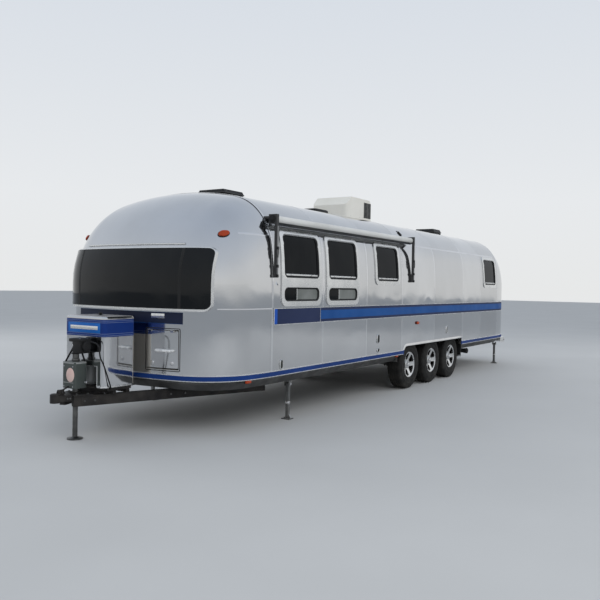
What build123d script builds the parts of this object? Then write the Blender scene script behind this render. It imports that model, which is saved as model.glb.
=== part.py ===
from build123d import *
from math import atan2, cos, degrees, hypot, pi, sin, sqrt
import os

# Travel caravan, a long riveted aluminium trailer on three axles, in millimetres.
# +X points forward to the coupler, +Y to the caravan's left, +Z up, and the floor is Z = 0.

# Body shell: a straight section with a curved roof, and an end cap of compound curves at each end
BODY_WIDTH = 2440.0
NOSE_X = 4400.0
TAIL_X = -5210.0
ROOF_TOP_Z = 2540.0
CURVE_START_Z = 1510.0
SKIN_BOTTOM_Z = 546.0
SIDE_RADIUS = 3550.0
CORNER_RADIUS = 610.0
CROWN_RADIUS = 3800.0
LINING_FACETS = 4
WALL = 45.0
SEAM_INTO_CAP = 100.0
ROOF_SPLIT_Z = 2180.0

# Underside
FLOOR_TOP_Z = 620.0
BELLY_Z = 440.0
BELLY_EDGE = 70.0
RAIL_Y = 855.0
RAIL_WIDTH = 50.0
RAIL_BOTTOM_Z = 430.0
RAIL_SHEET = 6.0
CROSS_BEAM = 60.0
RAIL_X = (-5030.0, 4020.0)

# Wheels and axles
AXLE_X = (-227.0, -1075.0, -1922.0)
WHEEL_RADIUS = 360.0
TYRE_WIDTH = 223.0
TREAD_WIDTH = 184.0
TYRE_OUTER_Y = 1162.0
TYRE_FACETS = 60
SHOULDER_DROP = 77.0
BEAD_RISE = 74.0
BEAD = 16.0
RIM_RADIUS = 191.0
BARREL_SHEET = 9.0
SPINDLE_RADIUS = 30.0
HUB_RADIUS = 52.0
DRUM_RADIUS = 140.0
RIM_SPOKES = 5
AXLE_TUBE = 76.0
ARM_REACH = 150.0
ARM_Y = (865.0, 925.0)

# Wheel arch in the side wall, and the bay behind it
ARCH_FRONT_X = 160.0
ARCH_REAR_X = -2250.0
ARCH_TOP_Z = 662.0
ARCH_RADIUS = 110.0
BAY_FRONT_X = 270.0
BAY_REAR_X = -2400.0
BAY_INNER_Y = 890.0
BAY_TOP_Z = 800.0
SHEET = 6.0

# Drawbar, coupler and jack
DRAWBAR_REAR = (3100.0, 855.0)
DRAWBAR_FRONT = (5090.0, 75.0)
DRAWBAR_TOP_Z = 430.0
DRAWBAR_HEIGHT = 100.0
DRAWBAR_BEAM = 60.0
NOSE_PLATE = 10.0
COUPLER_TIP_X = 5280.0
SOCKET_OUTER = 46.0
BALL_BORE = 29.9
SOCKET_Z = (375.0, 450.0)
SOCKET_DEPTH = 50.0
JACK_X = 5000.0
JACK_TUBE_RADIUS = 30.0
JACK_TUBE_Z = (330.0, 830.0)
JACK_LEG_RADIUS = 24.0
JACK_LEG_TOP_Z = 480.0
JACK_FOOT = (75.0, 12.0)
SLIDE_CLEARANCE = 0.4
CHAIN_HOLES = (4955.0, 70.0)
CHAIN_HOLE_RADIUS = 9.0

# Cable from the jack's head to the left beam
CABLE_POINTS = (
    (4975.0, 171.0, 940.0),
    (4975.0, 300.0, 940.0),
    (4972.0, 300.0, 806.0),
    (4924.0, 300.0, 736.0),
    (4859.0, 300.0, 578.0),
    (4815.0, 300.0, 466.0),
    (4800.0, 200.0, 438.0),
)
CABLE_RADIUS = 7.0
CABLE_BEND = 26.0

# Gas bottles and their cover
COVER_FRONT_X = 4905.0
COVER_DEPTH = 403.0
COVER_WIDTH = 562.0
COVER_X = (COVER_FRONT_X - COVER_DEPTH, COVER_FRONT_X)
COVER_Y = (-COVER_WIDTH / 2, COVER_WIDTH / 2)
COVER_Z = (496.0, 1179.0)
COVER_EDGE = 45.0
COVER_CUT = (380.0, 205.0)
BOTTLE_RADIUS = 122.0
BOTTLE_HEIGHT = 500.0
BOTTLE_Y = 132.0

# Trims that stand proud of the skin
BELT_Z = (1088.0, 1268.0)
BELT_X = (-4650.0, 3450.0)
BELT_PROUD = 4.0
END_BAND_HALF = 745.0
END_BAND_Z = (1108.0, 1224.0)
RUB_RAIL_HEIGHT = 60.0
TRIM_PROUD = 12.0
END_PROUD = 30.0
OPENING_MARGIN = 18.0
FRAME_MARGIN = 60.0
END_FRAME_MARGIN = 26.0
WINDOW_RADIUS = 55.0
GLASS_INSET = (5.0, 13.0)

# Side windows. Columns: rear edge X, front edge X, panes as (sill Z, head Z), also on the door side
UPPER_PANE = (1600.0, 2059.0)
LOWER_PANE = (1345.0, 1485.0)
SIDE_WINDOWS = (
    (2560.0, 3260.0, (LOWER_PANE, UPPER_PANE), True),
    (1630.0, 2320.0, (LOWER_PANE, UPPER_PANE), False),
    (390.0, 1040.0, (UPPER_PANE,), True),
    (-4100.0, -3460.0, (UPPER_PANE,), True),
)

# End windows. Columns: end, panes as (low Y, high Y), sill Z, head Z
END_WINDOWS = (
    (1, ((-985.0, -738.0), (-702.0, 702.0), (738.0, 985.0)), 1264.0, 1848.0),
    (-1, ((-600.0, 600.0),), 1340.0, 1830.0),
)

# Entry door on the right-hand side
DOOR_X = (1500.0, 2200.0)
DOOR_Z = (632.0, 2080.0)
DOOR_GAP = 8.0
DOOR_LATCH_GAP = 13.0
DOOR_PANE = (1680.0, 2060.0, 1480.0, 1950.0)
DOOR_HINGE = (2204.0, -1230.0)
DOOR_HINGE_Z = (740.0, 1020.0, 1400.0)
DOOR_BARREL = (5.0, 70.0)
HANDLE_X = (1528.0, 1592.0)
HANDLE_Z = (940.0, 1060.0)

# Storage hatches in the end caps. Columns: name, end, low Y, high Y
HATCHES = (
    ("front_hatch_left", 1, 330.0, 700.0),
    ("front_hatch_right", 1, -700.0, -330.0),
    ("rear_hatch", -1, -560.0, 560.0),
)
HATCH_Z = (660.0, 1040.0)
HATCH_GAP = 8.0
HATCH_BEVEL = 24.0
HATCH_BARREL_RADIUS = 5.0
BAR_HANDLE_Z = (832.0, 850.0)

# Hinges of the hatches. Columns: hatch, X and Z of the axis, barrels as (low Y, high Y)
HATCH_HINGES = {
    "front_hatch_left": (4391.6, 1044.0, ((345.0, 385.0), (645.0, 685.0))),
    "front_hatch_right": (4391.6, 1044.0, ((-385.0, -345.0), (-685.0, -645.0))),
    "rear_hatch": (-5216.0, 1044.0, ((-160.0, -80.0), (80.0, 160.0))),
}

# Roof fittings. Columns of the vents: name, middle X, width, base rise, lid rise
AC_X = (-560.0, 280.0)
AC_HALF_WIDTH = 300.0
AC_TOP_Z = 2880.0
VENTS = (("front", 2860.0, 400.0, 45.0, 50.0), ("rear", -3610.0, 400.0, 70.0, 65.0))
SKYLIGHT = (800.0, 420.0, 75.0)
LID_BARREL = (4.0, 120.0)

# Awnings along both sides
AWNING_X = (-60.0, 3430.0)
AWNING_Y = 1200.0
AWNING_Z = 2205.0
AWNING_RADIUS = 42.0
AWNING_ARM = (40.0, 28.0)
ARM_BOTTOM_Z = 1590.0

# Stabiliser legs. Columns: name, X of the pivot
LEG_ROWS = (("front", 2900.0), ("rear", -4700.0))
LEG_Y = 1050.0
LEG_PIVOT_Z = 400.0
LEG_TUBE = 36.0
LEG_PIN = 8.0
LEG_FOOT = (90.0, 110.0, 10.0)
CHEEK = 8.0
CHEEK_GAP = 46.0

# Entry step under the door
STEP_X = (1570.0, 2130.0)
STEP_Y = (-1165.0, -915.0)
STEP_Z = (388.0, 424.0)
STEP_GUIDE = 34.0

# Lamps. Columns: X, Y size, Z size, middle Z, proud of the skin
SIDE_LAMP = (-327.0, 92.0, 44.0, 985.0)
CAP_LAMP = (992.0, 72.0, 60.0, 2012.0)
LOW_LAMPS = (332.0, 3840.0)
LOW_LAMP = (90.0, 30.0)
TAIL_LAMPS = ((985.0, 1120.0), (985.0, 940.0))
TAIL_LAMP_RADIUS = 72.0

# Fittings low on the left side. Columns: middle X, middle Z, width, height
SIDE_FITTINGS = (
    (985.0, 815.0, 64.0, 120.0),
    (980.0, 660.0, 56.0, 56.0),
    (-1545.0, 832.0, 40.0, 120.0),
    (3296.0, 666.0, 46.0, 100.0),
)
DRAIN_X = -2900.0
DRAIN_RADIUS = 44.5
DRAIN_Z = 380.0
DRAIN_END_Y = 1110.0
DRAIN_COLLAR = 60.0

BUMPER_PROUD = 70.0
BUMPER_Z = (440.0, 540.0)
BUMPER_END_X = -4450.0
FLAP = (320.0, 640.0, 10.0)
HALF_WIDTH = BODY_WIDTH / 2
CAP_RISE = ROOF_TOP_Z - CURVE_START_Z
CAP_BASE_X = {1: NOSE_X - CAP_RISE, -1: TAIL_X + CAP_RISE}
SKIN_X = {1: NOSE_X, -1: TAIL_X}
SEAM_X = {end: base + end * SEAM_INTO_CAP for end, base in CAP_BASE_X.items()}
SIDES = {"left": 1, "right": -1}
FAR = 6000.0


def export_node(piece, name):
    piece.part.label = name
    export_step(piece.part, f"parts/{name}.step")


# Outline of the shell: one outline serves the roof's section and the end cap's plan.
# A point is (sideways, rise). The side arc starts square to the base, and the corner arc
# is tangent to it and to the crown arc. An inset moves all three arcs in by the same amount.

def arc_centres():
    side = (HALF_WIDTH - SIDE_RADIUS, 0.0)
    crown = (0.0, CAP_RISE - CROWN_RADIUS)
    to_side = SIDE_RADIUS - CORNER_RADIUS
    to_crown = CROWN_RADIUS - CORNER_RADIUS
    dx = crown[0] - side[0]
    dy = crown[1] - side[1]
    span = hypot(dx, dy)
    along = (to_side**2 - to_crown**2 + span**2) / (2 * span)
    across = sqrt(to_side**2 - along**2)
    corner = (side[0] + (dx * along - dy * across) / span, side[1] + (dy * along + dx * across) / span)
    return side, corner, crown


def tangent_angles():
    side, corner, crown = arc_centres()
    first = atan2(corner[1] - side[1], corner[0] - side[0])
    second = atan2(corner[1] - crown[1], corner[0] - crown[0])
    return first, second


def on_arc(centre, radius, angle):
    return (centre[0] + radius * cos(angle), centre[1] + radius * sin(angle))


def round_outline(inset):
    first, second = tangent_angles()
    radii = (SIDE_RADIUS - inset, CORNER_RADIUS - inset, CROWN_RADIUS - inset)
    turns = ((0.0, first), (first, second), (second, pi / 2))
    with BuildLine() as outline:
        for flip in (1, -1):
            for centre, radius, (start, end) in zip(arc_centres(), radii, turns):
                points = [on_arc(centre, radius, turn) for turn in (start, (start + end) / 2, end)]
                ThreePointArc(*[(flip * across, rise) for across, rise in points])
        Line((inset - HALF_WIDTH, 0), (HALF_WIDTH - inset, 0))
    make_face(outline.edges())


def flat_outline(inset):
    first, second = tangent_angles()
    corner = arc_centres()[1]
    turns = [first + (second - first) * step / LINING_FACETS for step in range(LINING_FACETS + 1)]
    half = [(HALF_WIDTH - inset, 0.0)] + [on_arc(corner, CORNER_RADIUS - inset, turn) for turn in turns]
    points = half + [(0.0, CAP_RISE - inset)] + [(-across, rise) for across, rise in reversed(half)]
    with BuildLine() as outline:
        Polyline(*points, close=True)
    make_face(outline.edges())


def hull(inset, outline, bottom_z):
    """The whole body as one closed form, inset from the skin."""
    length = CAP_BASE_X[1] - CAP_BASE_X[-1]
    section = Plane(origin=(CAP_BASE_X[-1], 0, CURVE_START_Z), x_dir=(0, 1, 0), z_dir=(1, 0, 0))
    with BuildPart() as body:
        with BuildSketch(section):
            outline(inset)
        extrude(amount=length)
        half_width = HALF_WIDTH - inset
        block((CAP_BASE_X[-1], CAP_BASE_X[1]), (-half_width, half_width), (bottom_z, CURVE_START_Z))
        for end, base_x in CAP_BASE_X.items():
            plan = Plane(origin=(base_x, 0, CURVE_START_Z), x_dir=(0, end, 0), z_dir=(0, 0, -1))
            with BuildSketch(plan) as cap:
                outline(inset)
            extrude(amount=CURVE_START_Z - bottom_z)
            revolve(cap.sketch, axis=Axis((base_x, 0, CURVE_START_Z), (0, -end, 0)), revolution_arc=90)
    return body.part


def block(x, y, z, mode=Mode.ADD):
    """A box given by its low and high values along each axis."""
    with Locations(((x[0] + x[1]) / 2, (y[0] + y[1]) / 2, (z[0] + z[1]) / 2)):
        Box(abs(x[1] - x[0]), abs(y[1] - y[0]), abs(z[1] - z[0]), mode=mode)


def side_slot(x, z, radius, side):
    """A rounded plug through one side wall."""
    with BuildPart() as slot:
        with BuildSketch(Plane.XZ.offset(-side * (HALF_WIDTH - 300))):
            with Locations(((x[0] + x[1]) / 2, (z[0] + z[1]) / 2)):
                RectangleRounded(x[1] - x[0], z[1] - z[0], radius)
        extrude(amount=-side * 500)
    return slot.part


def end_slot(y, z, radius, end):
    """A rounded plug through one end cap."""
    with BuildPart() as slot:
        with BuildSketch(Plane.YZ.offset(CAP_BASE_X[end])):
            with Locations(((y[0] + y[1]) / 2, (z[0] + z[1]) / 2)):
                RectangleRounded(y[1] - y[0], z[1] - z[0], radius)
        extrude(amount=end * 1400)
    return slot.part


def arch_slot(side):
    """The wheel arch: its front corner is rounded and its rear corner square."""
    low_z = SKIN_BOTTOM_Z - 200
    with BuildPart() as slot:
        with BuildSketch(Plane.XZ.offset(-side * (HALF_WIDTH - 300))) as arch:
            with BuildLine():
                Polyline(
                    (ARCH_REAR_X, low_z),
                    (ARCH_REAR_X, ARCH_TOP_Z),
                    (ARCH_FRONT_X, ARCH_TOP_Z),
                    (ARCH_FRONT_X, low_z),
                    close=True,
                )
            make_face()
            fillet(arch.vertices().group_by(Axis.X)[-1].sort_by(Axis.Y)[-1], ARCH_RADIUS)
        extrude(amount=-side * 500)
    return slot.part


def hatch_plug(end, y, margin):
    """The plug of a storage hatch: the lid's is bevelled inside, so that it swings clear."""
    low_z, high_z = grown(HATCH_Z, margin)
    low_y, high_y = grown(y, margin)
    inner_low_z = low_z if margin else low_z + HATCH_BEVEL
    outer_x, inner_x = SKIN_X[end] + end * 60, SKIN_X[end] - end * 260
    with BuildPart() as plug:
        with BuildSketch(Plane.XZ.offset(-high_y)):
            with BuildLine():
                Polyline(
                    (outer_x, low_z), (outer_x, high_z), (inner_x, high_z), (inner_x, inner_low_z), close=True
                )
            make_face()
        extrude(amount=high_y - low_y)
    return plug.part


def door_barrel(span_z):
    """One barrel of the entry door's hinges, about their common axis."""
    with Locations((*DOOR_HINGE, (span_z[0] + span_z[1]) / 2)):
        Cylinder(DOOR_BARREL[0], span_z[1] - span_z[0])


def reach_loss(across):
    """How far an end's skin falls back from its foremost point, near its middle."""
    return CROWN_RADIUS - sqrt(CROWN_RADIUS**2 - across**2)


def clipped(plugs, form):
    """What a set of plugs has in common with one layer of the body."""
    with BuildPart() as clip:
        for plug in plugs:
            add(plug)
        add(form, mode=Mode.INTERSECT)
    return clip.part


def layer(outer, inner):
    """The space between two closed forms."""
    with BuildPart() as between:
        add(outer)
        add(inner, mode=Mode.SUBTRACT)
    return between.part


def grown(span, margin):
    return (span[0] - margin, span[1] + margin)


def window_plugs(margin, whole):
    """Plugs for all window panes, or for the whole windows, grown by a margin."""
    plugs = []
    radius = WINDOW_RADIUS + margin / 2
    for rear_x, front_x, panes, both_sides in SIDE_WINDOWS:
        heights = [(panes[0][0], panes[-1][1])] if whole else panes
        x = grown((rear_x, front_x), margin)
        for side in (1, -1) if both_sides else (1,):
            plugs += [side_slot(x, grown(z, margin), radius, side) for z in heights]
    return plugs


def end_window_plugs(margin, whole):
    plugs = []
    radius = WINDOW_RADIUS + margin / 2
    for end, panes, sill_z, head_z in END_WINDOWS:
        widths = [(panes[0][0], panes[-1][1])] if whole else panes
        plugs += [end_slot(grown(y, margin), grown((sill_z, head_z), margin), radius, end) for y in widths]
    return plugs


os.makedirs("parts", exist_ok=True)

# Closed forms and layers that the pieces are cut from
skin_form = hull(0, round_outline, SKIN_BOTTOM_Z)
room_form = hull(WALL, flat_outline, SKIN_BOTTOM_Z - 100)
wall_layer = layer(skin_form, room_form)
trim_layer = layer(hull(-TRIM_PROUD, round_outline, SKIN_BOTTOM_Z), skin_form)
end_trim_layer = layer(hull(-END_PROUD, round_outline, SKIN_BOTTOM_Z), skin_form)
band_layer = layer(hull(-BELT_PROUD, round_outline, SKIN_BOTTOM_Z), skin_form)
glass_layer = layer(
    hull(GLASS_INSET[0], round_outline, SKIN_BOTTOM_Z), hull(GLASS_INSET[1], round_outline, SKIN_BOTTOM_Z)
)
pane_plugs = window_plugs(0, False)
opening_plugs = window_plugs(OPENING_MARGIN, True)
end_pane_plugs = end_window_plugs(0, False)
end_opening_plugs = end_window_plugs(OPENING_MARGIN, True)
door_plug = side_slot(DOOR_X, DOOR_Z, WINDOW_RADIUS, -1)
door_pane_plug = side_slot(DOOR_PANE[:2], DOOR_PANE[2:], WINDOW_RADIUS, -1)
doorway_plug = side_slot(
    (DOOR_X[0] - DOOR_LATCH_GAP, DOOR_X[1] + DOOR_GAP), grown(DOOR_Z, DOOR_GAP), WINDOW_RADIUS, -1
)
arch_plugs = [arch_slot(side) for side in SIDES.values()]
hatch_openings = [hatch_plug(end, y, HATCH_GAP) for _, end, *y in HATCHES]

# Whole shell, before it is split at the real seams
with BuildPart() as shell:
    add(wall_layer)
    for plug in opening_plugs + end_opening_plugs + arch_plugs + hatch_openings + [doorway_plug]:
        add(plug, mode=Mode.SUBTRACT)

# End caps
for end, name in ((1, "front_cap"), (-1, "rear_cap")):
    with BuildPart() as cap_piece:
        add(shell.part)
        split(bisect_by=Plane.YZ.offset(SEAM_X[end]), keep=Keep.TOP if end > 0 else Keep.BOTTOM)
    export_node(cap_piece, name)

# Straight middle: roof and side walls
with BuildPart() as middle:
    add(shell.part)
    split(bisect_by=Plane.YZ.offset(SEAM_X[1]), keep=Keep.BOTTOM)
    split(bisect_by=Plane.YZ.offset(SEAM_X[-1]), keep=Keep.TOP)

with BuildPart() as roof:
    add(middle.part)
    split(bisect_by=Plane.XY.offset(ROOF_SPLIT_Z), keep=Keep.TOP)
export_node(roof, "roof")

for name, side in SIDES.items():
    with BuildPart() as wall:
        add(middle.part)
        split(bisect_by=Plane.XY.offset(ROOF_SPLIT_Z), keep=Keep.BOTTOM)
        split(bisect_by=Plane.XZ, keep=Keep.BOTTOM if side > 0 else Keep.TOP)
    export_node(wall, f"{name}_wall")

# Window frames: a flange on the skin and a lining through the wall
with BuildPart() as window_frames:
    add(clipped(window_plugs(FRAME_MARGIN, True), trim_layer))
    add(clipped(opening_plugs, wall_layer))
    add(clipped(end_window_plugs(END_FRAME_MARGIN, True), end_trim_layer))
    add(clipped(end_opening_plugs, wall_layer))
    for plug in pane_plugs + end_pane_plugs:
        add(plug, mode=Mode.SUBTRACT)
export_node(window_frames, "window_frames")

with BuildPart() as window_glass:
    add(clipped(pane_plugs + end_pane_plugs, glass_layer))
export_node(window_glass, "window_glass")

# Entry door
with BuildPart() as entry_door:
    add(clipped([door_plug], wall_layer))
    add(door_pane_plug, mode=Mode.SUBTRACT)
    for middle_z in DOOR_HINGE_Z:
        span_z = (middle_z - DOOR_BARREL[1] / 2, middle_z + DOOR_BARREL[1] / 2)
        door_barrel(span_z)
        block((DOOR_HINGE[0] - 34, DOOR_HINGE[0]), (-HALF_WIDTH - 6, -HALF_WIDTH + 1), span_z)
    block(HANDLE_X, (-HALF_WIDTH - 6, -HALF_WIDTH + 1), HANDLE_Z)
    block((HANDLE_X[0] + 8, HANDLE_X[0] + 28), (-HALF_WIDTH - 26, -HALF_WIDTH - 5), grown(HANDLE_Z, -15))
export_node(entry_door, "entry_door")

with BuildPart() as door_glass:
    add(clipped([door_pane_plug], glass_layer))
export_node(door_glass, "door_glass")

with BuildPart() as door_trim:
    add(clipped([side_slot(grown(DOOR_X, 48), grown(DOOR_Z, 48), WINDOW_RADIUS, -1)], trim_layer))
    add(doorway_plug, mode=Mode.SUBTRACT)
    block(grown(DOOR_X, 100), (-FAR, 0), (0, SKIN_BOTTOM_Z + RUB_RAIL_HEIGHT), Mode.SUBTRACT)
    for middle_z in DOOR_HINGE_Z:
        half = DOOR_BARREL[1] / 2
        notch_x = (DOOR_HINGE[0], DOOR_HINGE[0] + DOOR_BARREL[0] + 2)
        block(notch_x, (-FAR, 0), (middle_z - half - 1, middle_z + half + 1), Mode.SUBTRACT)
        for low_z in (middle_z - half - 25, middle_z + half + 1):
            span_z = (low_z, low_z + 24)
            door_barrel(span_z)
            block((DOOR_HINGE[0], DOOR_HINGE[0] + 28), (-HALF_WIDTH - 14, -HALF_WIDTH - 8), span_z)
export_node(door_trim, "door_trim")

# Storage hatches, hung from their top edges, with a bar handle on each front one
for name, end, *y in HATCHES:
    hinge_x, hinge_z, barrels = HATCH_HINGES[name]
    with BuildPart() as hatch:
        add(clipped([hatch_plug(end, y, 0)], wall_layer))
        for barrel_y in barrels:
            with BuildSketch(Plane.XZ.offset(-barrel_y[1])):
                with Locations((hinge_x, hinge_z)):
                    Circle(HATCH_BARREL_RADIUS)
            extrude(amount=barrel_y[1] - barrel_y[0])
            arm_x = SKIN_X[end] - end * (reach_loss(max(map(abs, barrel_y))) + 6)
            block((arm_x, hinge_x), barrel_y, (hinge_z - 16, hinge_z - 4))
        if end > 0:
            turn = 1 if y[0] > 0 else -1
            with BuildSketch(Plane.XY.offset(BAR_HANDLE_Z[0])):
                with BuildLine():
                    Polyline(
                        (4361, turn * 450),
                        (4411, turn * 450),
                        (4384, turn * 650),
                        (4334, turn * 650),
                        (4337, turn * 634),
                        (4370, turn * 634),
                        (4393, turn * 466),
                        (4360, turn * 466),
                        close=True,
                    )
                make_face()
            extrude(amount=BAR_HANDLE_Z[1] - BAR_HANDLE_Z[0])
    export_node(hatch, name)

# Rub rail round the foot of the skin
with BuildPart() as rub_rail:
    add(trim_layer)
    block((-FAR, FAR), (-FAR, FAR), (SKIN_BOTTOM_Z, SKIN_BOTTOM_Z + RUB_RAIL_HEIGHT), Mode.INTERSECT)
    for plug in arch_plugs:
        add(plug, mode=Mode.SUBTRACT)
export_node(rub_rail, "rub_rail")

# Belt bands along both sides, stopping at the door, and across the two ends
with BuildPart() as belt_bands:
    stretches = {1: (BELT_X,), -1: ((BELT_X[0], DOOR_X[0] - 60), (DOOR_X[1] + 60, BELT_X[1]))}
    for side, spans in stretches.items():
        for span in spans:
            add(clipped([side_slot(span, BELT_Z, 4, side)], band_layer))
    for end in (1, -1):
        add(clipped([end_slot((-END_BAND_HALF, END_BAND_HALF), END_BAND_Z, 4, end)], band_layer))
export_node(belt_bands, "belt_bands")

# Floor, with a bay cut for the wheels on each side
bay_plugs = []
for side in SIDES.values():
    with BuildPart() as bay:
        block((BAY_REAR_X, BAY_FRONT_X), (side * BAY_INNER_Y, side * HALF_WIDTH), (300, BAY_TOP_Z))
    bay_plugs.append(bay.part)

with BuildPart() as floor_deck:
    add(room_form)
    block((-FAR, FAR), (-FAR, FAR), (SKIN_BOTTOM_Z, FLOOR_TOP_Z), Mode.INTERSECT)
    for plug in bay_plugs:
        add(plug, mode=Mode.SUBTRACT)
export_node(floor_deck, "floor_deck")

# Chassis: two channels joined by cross beams
with BuildPart() as chassis:
    for side in SIDES.values():
        with BuildSketch(Plane.YZ.offset(RAIL_X[0])):
            with Locations((side * RAIL_Y, (RAIL_BOTTOM_Z + SKIN_BOTTOM_Z) / 2)):
                Rectangle(RAIL_WIDTH, SKIN_BOTTOM_Z - RAIL_BOTTOM_Z)
            with Locations((side * (RAIL_Y - RAIL_SHEET), (RAIL_BOTTOM_Z + SKIN_BOTTOM_Z) / 2)):
                Rectangle(RAIL_WIDTH, SKIN_BOTTOM_Z - RAIL_BOTTOM_Z - 2 * RAIL_SHEET, mode=Mode.SUBTRACT)
        extrude(amount=RAIL_X[1] - RAIL_X[0])
    for beam_x in (RAIL_X[0], RAIL_X[1] - CROSS_BEAM):
        inner_y = RAIL_Y + RAIL_WIDTH / 2 - RAIL_SHEET
        block((beam_x, beam_x + CROSS_BEAM), (-inner_y, inner_y), (RAIL_BOTTOM_Z, SKIN_BOTTOM_Z))
export_node(chassis, "chassis")

# Belly pan: closes the underside round the channels, with its lower edge turned up
with BuildPart() as belly_pan:
    add(room_form)
    block((-FAR, FAR), (-FAR, FAR), (BELLY_Z, SKIN_BOTTOM_Z), Mode.INTERSECT)
    lower_edges = belly_pan.faces().sort_by(Axis.Z)[0].outer_wire().edges()
    chamfer(lower_edges, BELLY_EDGE)
    for side in SIDES.values():
        rail_y = (side * (RAIL_Y - RAIL_WIDTH / 2), side * (RAIL_Y + RAIL_WIDTH / 2))
        block((TAIL_X, RAIL_X[1]), rail_y, (RAIL_BOTTOM_Z, SKIN_BOTTOM_Z), Mode.SUBTRACT)
    for beam_x in (RAIL_X[0], RAIL_X[1] - CROSS_BEAM):
        block((beam_x, beam_x + CROSS_BEAM), (-RAIL_Y, RAIL_Y), (RAIL_BOTTOM_Z, SKIN_BOTTOM_Z), Mode.SUBTRACT)
    for plug in bay_plugs:
        add(plug, mode=Mode.SUBTRACT)
export_node(belly_pan, "belly_pan")

# Wheel wells: a folded sheet box over each row of wheels
with BuildPart() as wheel_wells:
    for side in SIDES.values():
        outer_y = HALF_WIDTH - WALL
        block((BAY_REAR_X, BAY_FRONT_X), (side * BAY_INNER_Y, side * outer_y), (BELLY_Z, BAY_TOP_Z))
        block(
            grown((BAY_REAR_X, BAY_FRONT_X), -SHEET),
            (side * (BAY_INNER_Y + SHEET), side * (outer_y + 50)),
            (BELLY_Z - 50, BAY_TOP_Z - SHEET),
            Mode.SUBTRACT,
        )
export_node(wheel_wells, "wheel_wells")

# Axles: a square tube under the channels, with trailing arms, spindles and backing plates
with BuildPart() as axles:
    for axle_x in AXLE_X:
        tube_x = axle_x + ARM_REACH
        tube_low_z = RAIL_BOTTOM_Z - AXLE_TUBE
        half = AXLE_TUBE / 2
        block((tube_x - half, tube_x + half), (-ARM_Y[0], ARM_Y[0]), (tube_low_z, RAIL_BOTTOM_Z))
        for side in SIDES.values():
            with BuildSketch(Plane.XZ.offset(-side * ARM_Y[0])):
                with Locations((axle_x, WHEEL_RADIUS)):
                    Circle(SPINDLE_RADIUS + 12)
                with Locations((tube_x, tube_low_z + AXLE_TUBE / 2)):
                    Circle(AXLE_TUBE / 2 - 1)
                make_hull()
            extrude(amount=-side * (ARM_Y[1] - ARM_Y[0]))
            with BuildSketch(Plane.XZ.offset(-side * ARM_Y[1])):
                with Locations((axle_x, WHEEL_RADIUS)):
                    Circle(SPINDLE_RADIUS)
            extrude(amount=-side * (TYRE_OUTER_Y - 70 - ARM_Y[1]))
            with BuildSketch(Plane.XZ.offset(-side * ARM_Y[1])):
                with Locations((axle_x, WHEEL_RADIUS)):
                    Circle(DRUM_RADIUS)
            extrude(amount=-side * 14)
export_node(axles, "axles")


# Wheels, drawn about the origin with their outer face towards +Y, then set on each spindle
# The tyre has flat facets, so that six of them stay light: a ring with its shoulders and beads cut back
with BuildPart() as tyre_form:
    for radius, mode in ((WHEEL_RADIUS, Mode.ADD), (RIM_RADIUS, Mode.SUBTRACT)):
        with BuildSketch(Plane.XZ.offset(-TYRE_WIDTH / 2)):
            RegularPolygon(radius, TYRE_FACETS, major_radius=False, rotation=180 / TYRE_FACETS)
        extrude(amount=TYRE_WIDTH, mode=mode)
    for side_place in (-1, 0):
        side_face = tyre_form.faces().sort_by(Axis.Y)[side_place]
        shoulder_edges = side_face.outer_wire().edges()
        chamfer(shoulder_edges, SHOULDER_DROP, (TYRE_WIDTH - TREAD_WIDTH) / 2, reference=side_face)
        side_face = tyre_form.faces().sort_by(Axis.Y)[side_place]
        chamfer(side_face.inner_wires()[0].edges(), BEAD_RISE, BEAD, reference=side_face)

with BuildPart() as rim_form:
    half = TYRE_WIDTH / 2 - 16
    disc_y = (38.0, 58.0)
    with BuildSketch(Plane.XY):
        with BuildLine():
            Polyline(
                (SPINDLE_RADIUS + SLIDE_CLEARANCE, -95),
                (HUB_RADIUS, -95),
                (HUB_RADIUS, -80),
                (DRUM_RADIUS, -80),
                (DRUM_RADIUS, -8),
                (HUB_RADIUS, -8),
                (HUB_RADIUS, disc_y[0]),
                (RIM_RADIUS - BARREL_SHEET, disc_y[0] + 22),
                (RIM_RADIUS - BARREL_SHEET, -half),
                (RIM_RADIUS, -half),
                (RIM_RADIUS, half),
                (RIM_RADIUS - BARREL_SHEET, half),
                (HUB_RADIUS + 8, disc_y[1]),
                (HUB_RADIUS + 8, disc_y[1] + 14),
                (0, disc_y[1] + 14),
                (0, disc_y[1] - 8),
                (SPINDLE_RADIUS + SLIDE_CLEARANCE, disc_y[1] - 8),
                close=True,
            )
        make_face()
    revolve(axis=Axis.Y)
    with BuildSketch(Plane.XZ.offset(-disc_y[0] + 20)):
        with PolarLocations(0, RIM_SPOKES):
            Polygon((78, -20), (148, -68), (166, -40), (172, 0), (166, 40), (148, 68), (78, 20), align=None)
    extrude(amount=-(half - disc_y[0] + 40), mode=Mode.SUBTRACT)

wheel_middle_y = TYRE_OUTER_Y - TYRE_WIDTH / 2
for row, axle_x in enumerate(AXLE_X, start=1):
    for name, side in SIDES.items():
        place = Location((axle_x, side * wheel_middle_y, WHEEL_RADIUS), (0, 0, 0 if side > 0 else 180))
        with BuildPart() as tyre:
            with Locations(place):
                add(tyre_form.part)
        export_node(tyre, f"tyre_{name}_{row}")
        with BuildPart() as rim:
            with Locations(place):
                add(rim_form.part)
        export_node(rim, f"rim_{name}_{row}")

# Mud flaps behind the last wheels
with BuildPart() as mud_flaps:
    for side in SIDES.values():
        flap_x = BAY_REAR_X + SHEET
        flap_y = (side * (BAY_INNER_Y + 20), side * (HALF_WIDTH - WALL - 5))
        block((flap_x, flap_x + FLAP[2]), flap_y, (FLAP[0], FLAP[1]))
export_node(mud_flaps, "mud_flaps")

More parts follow.
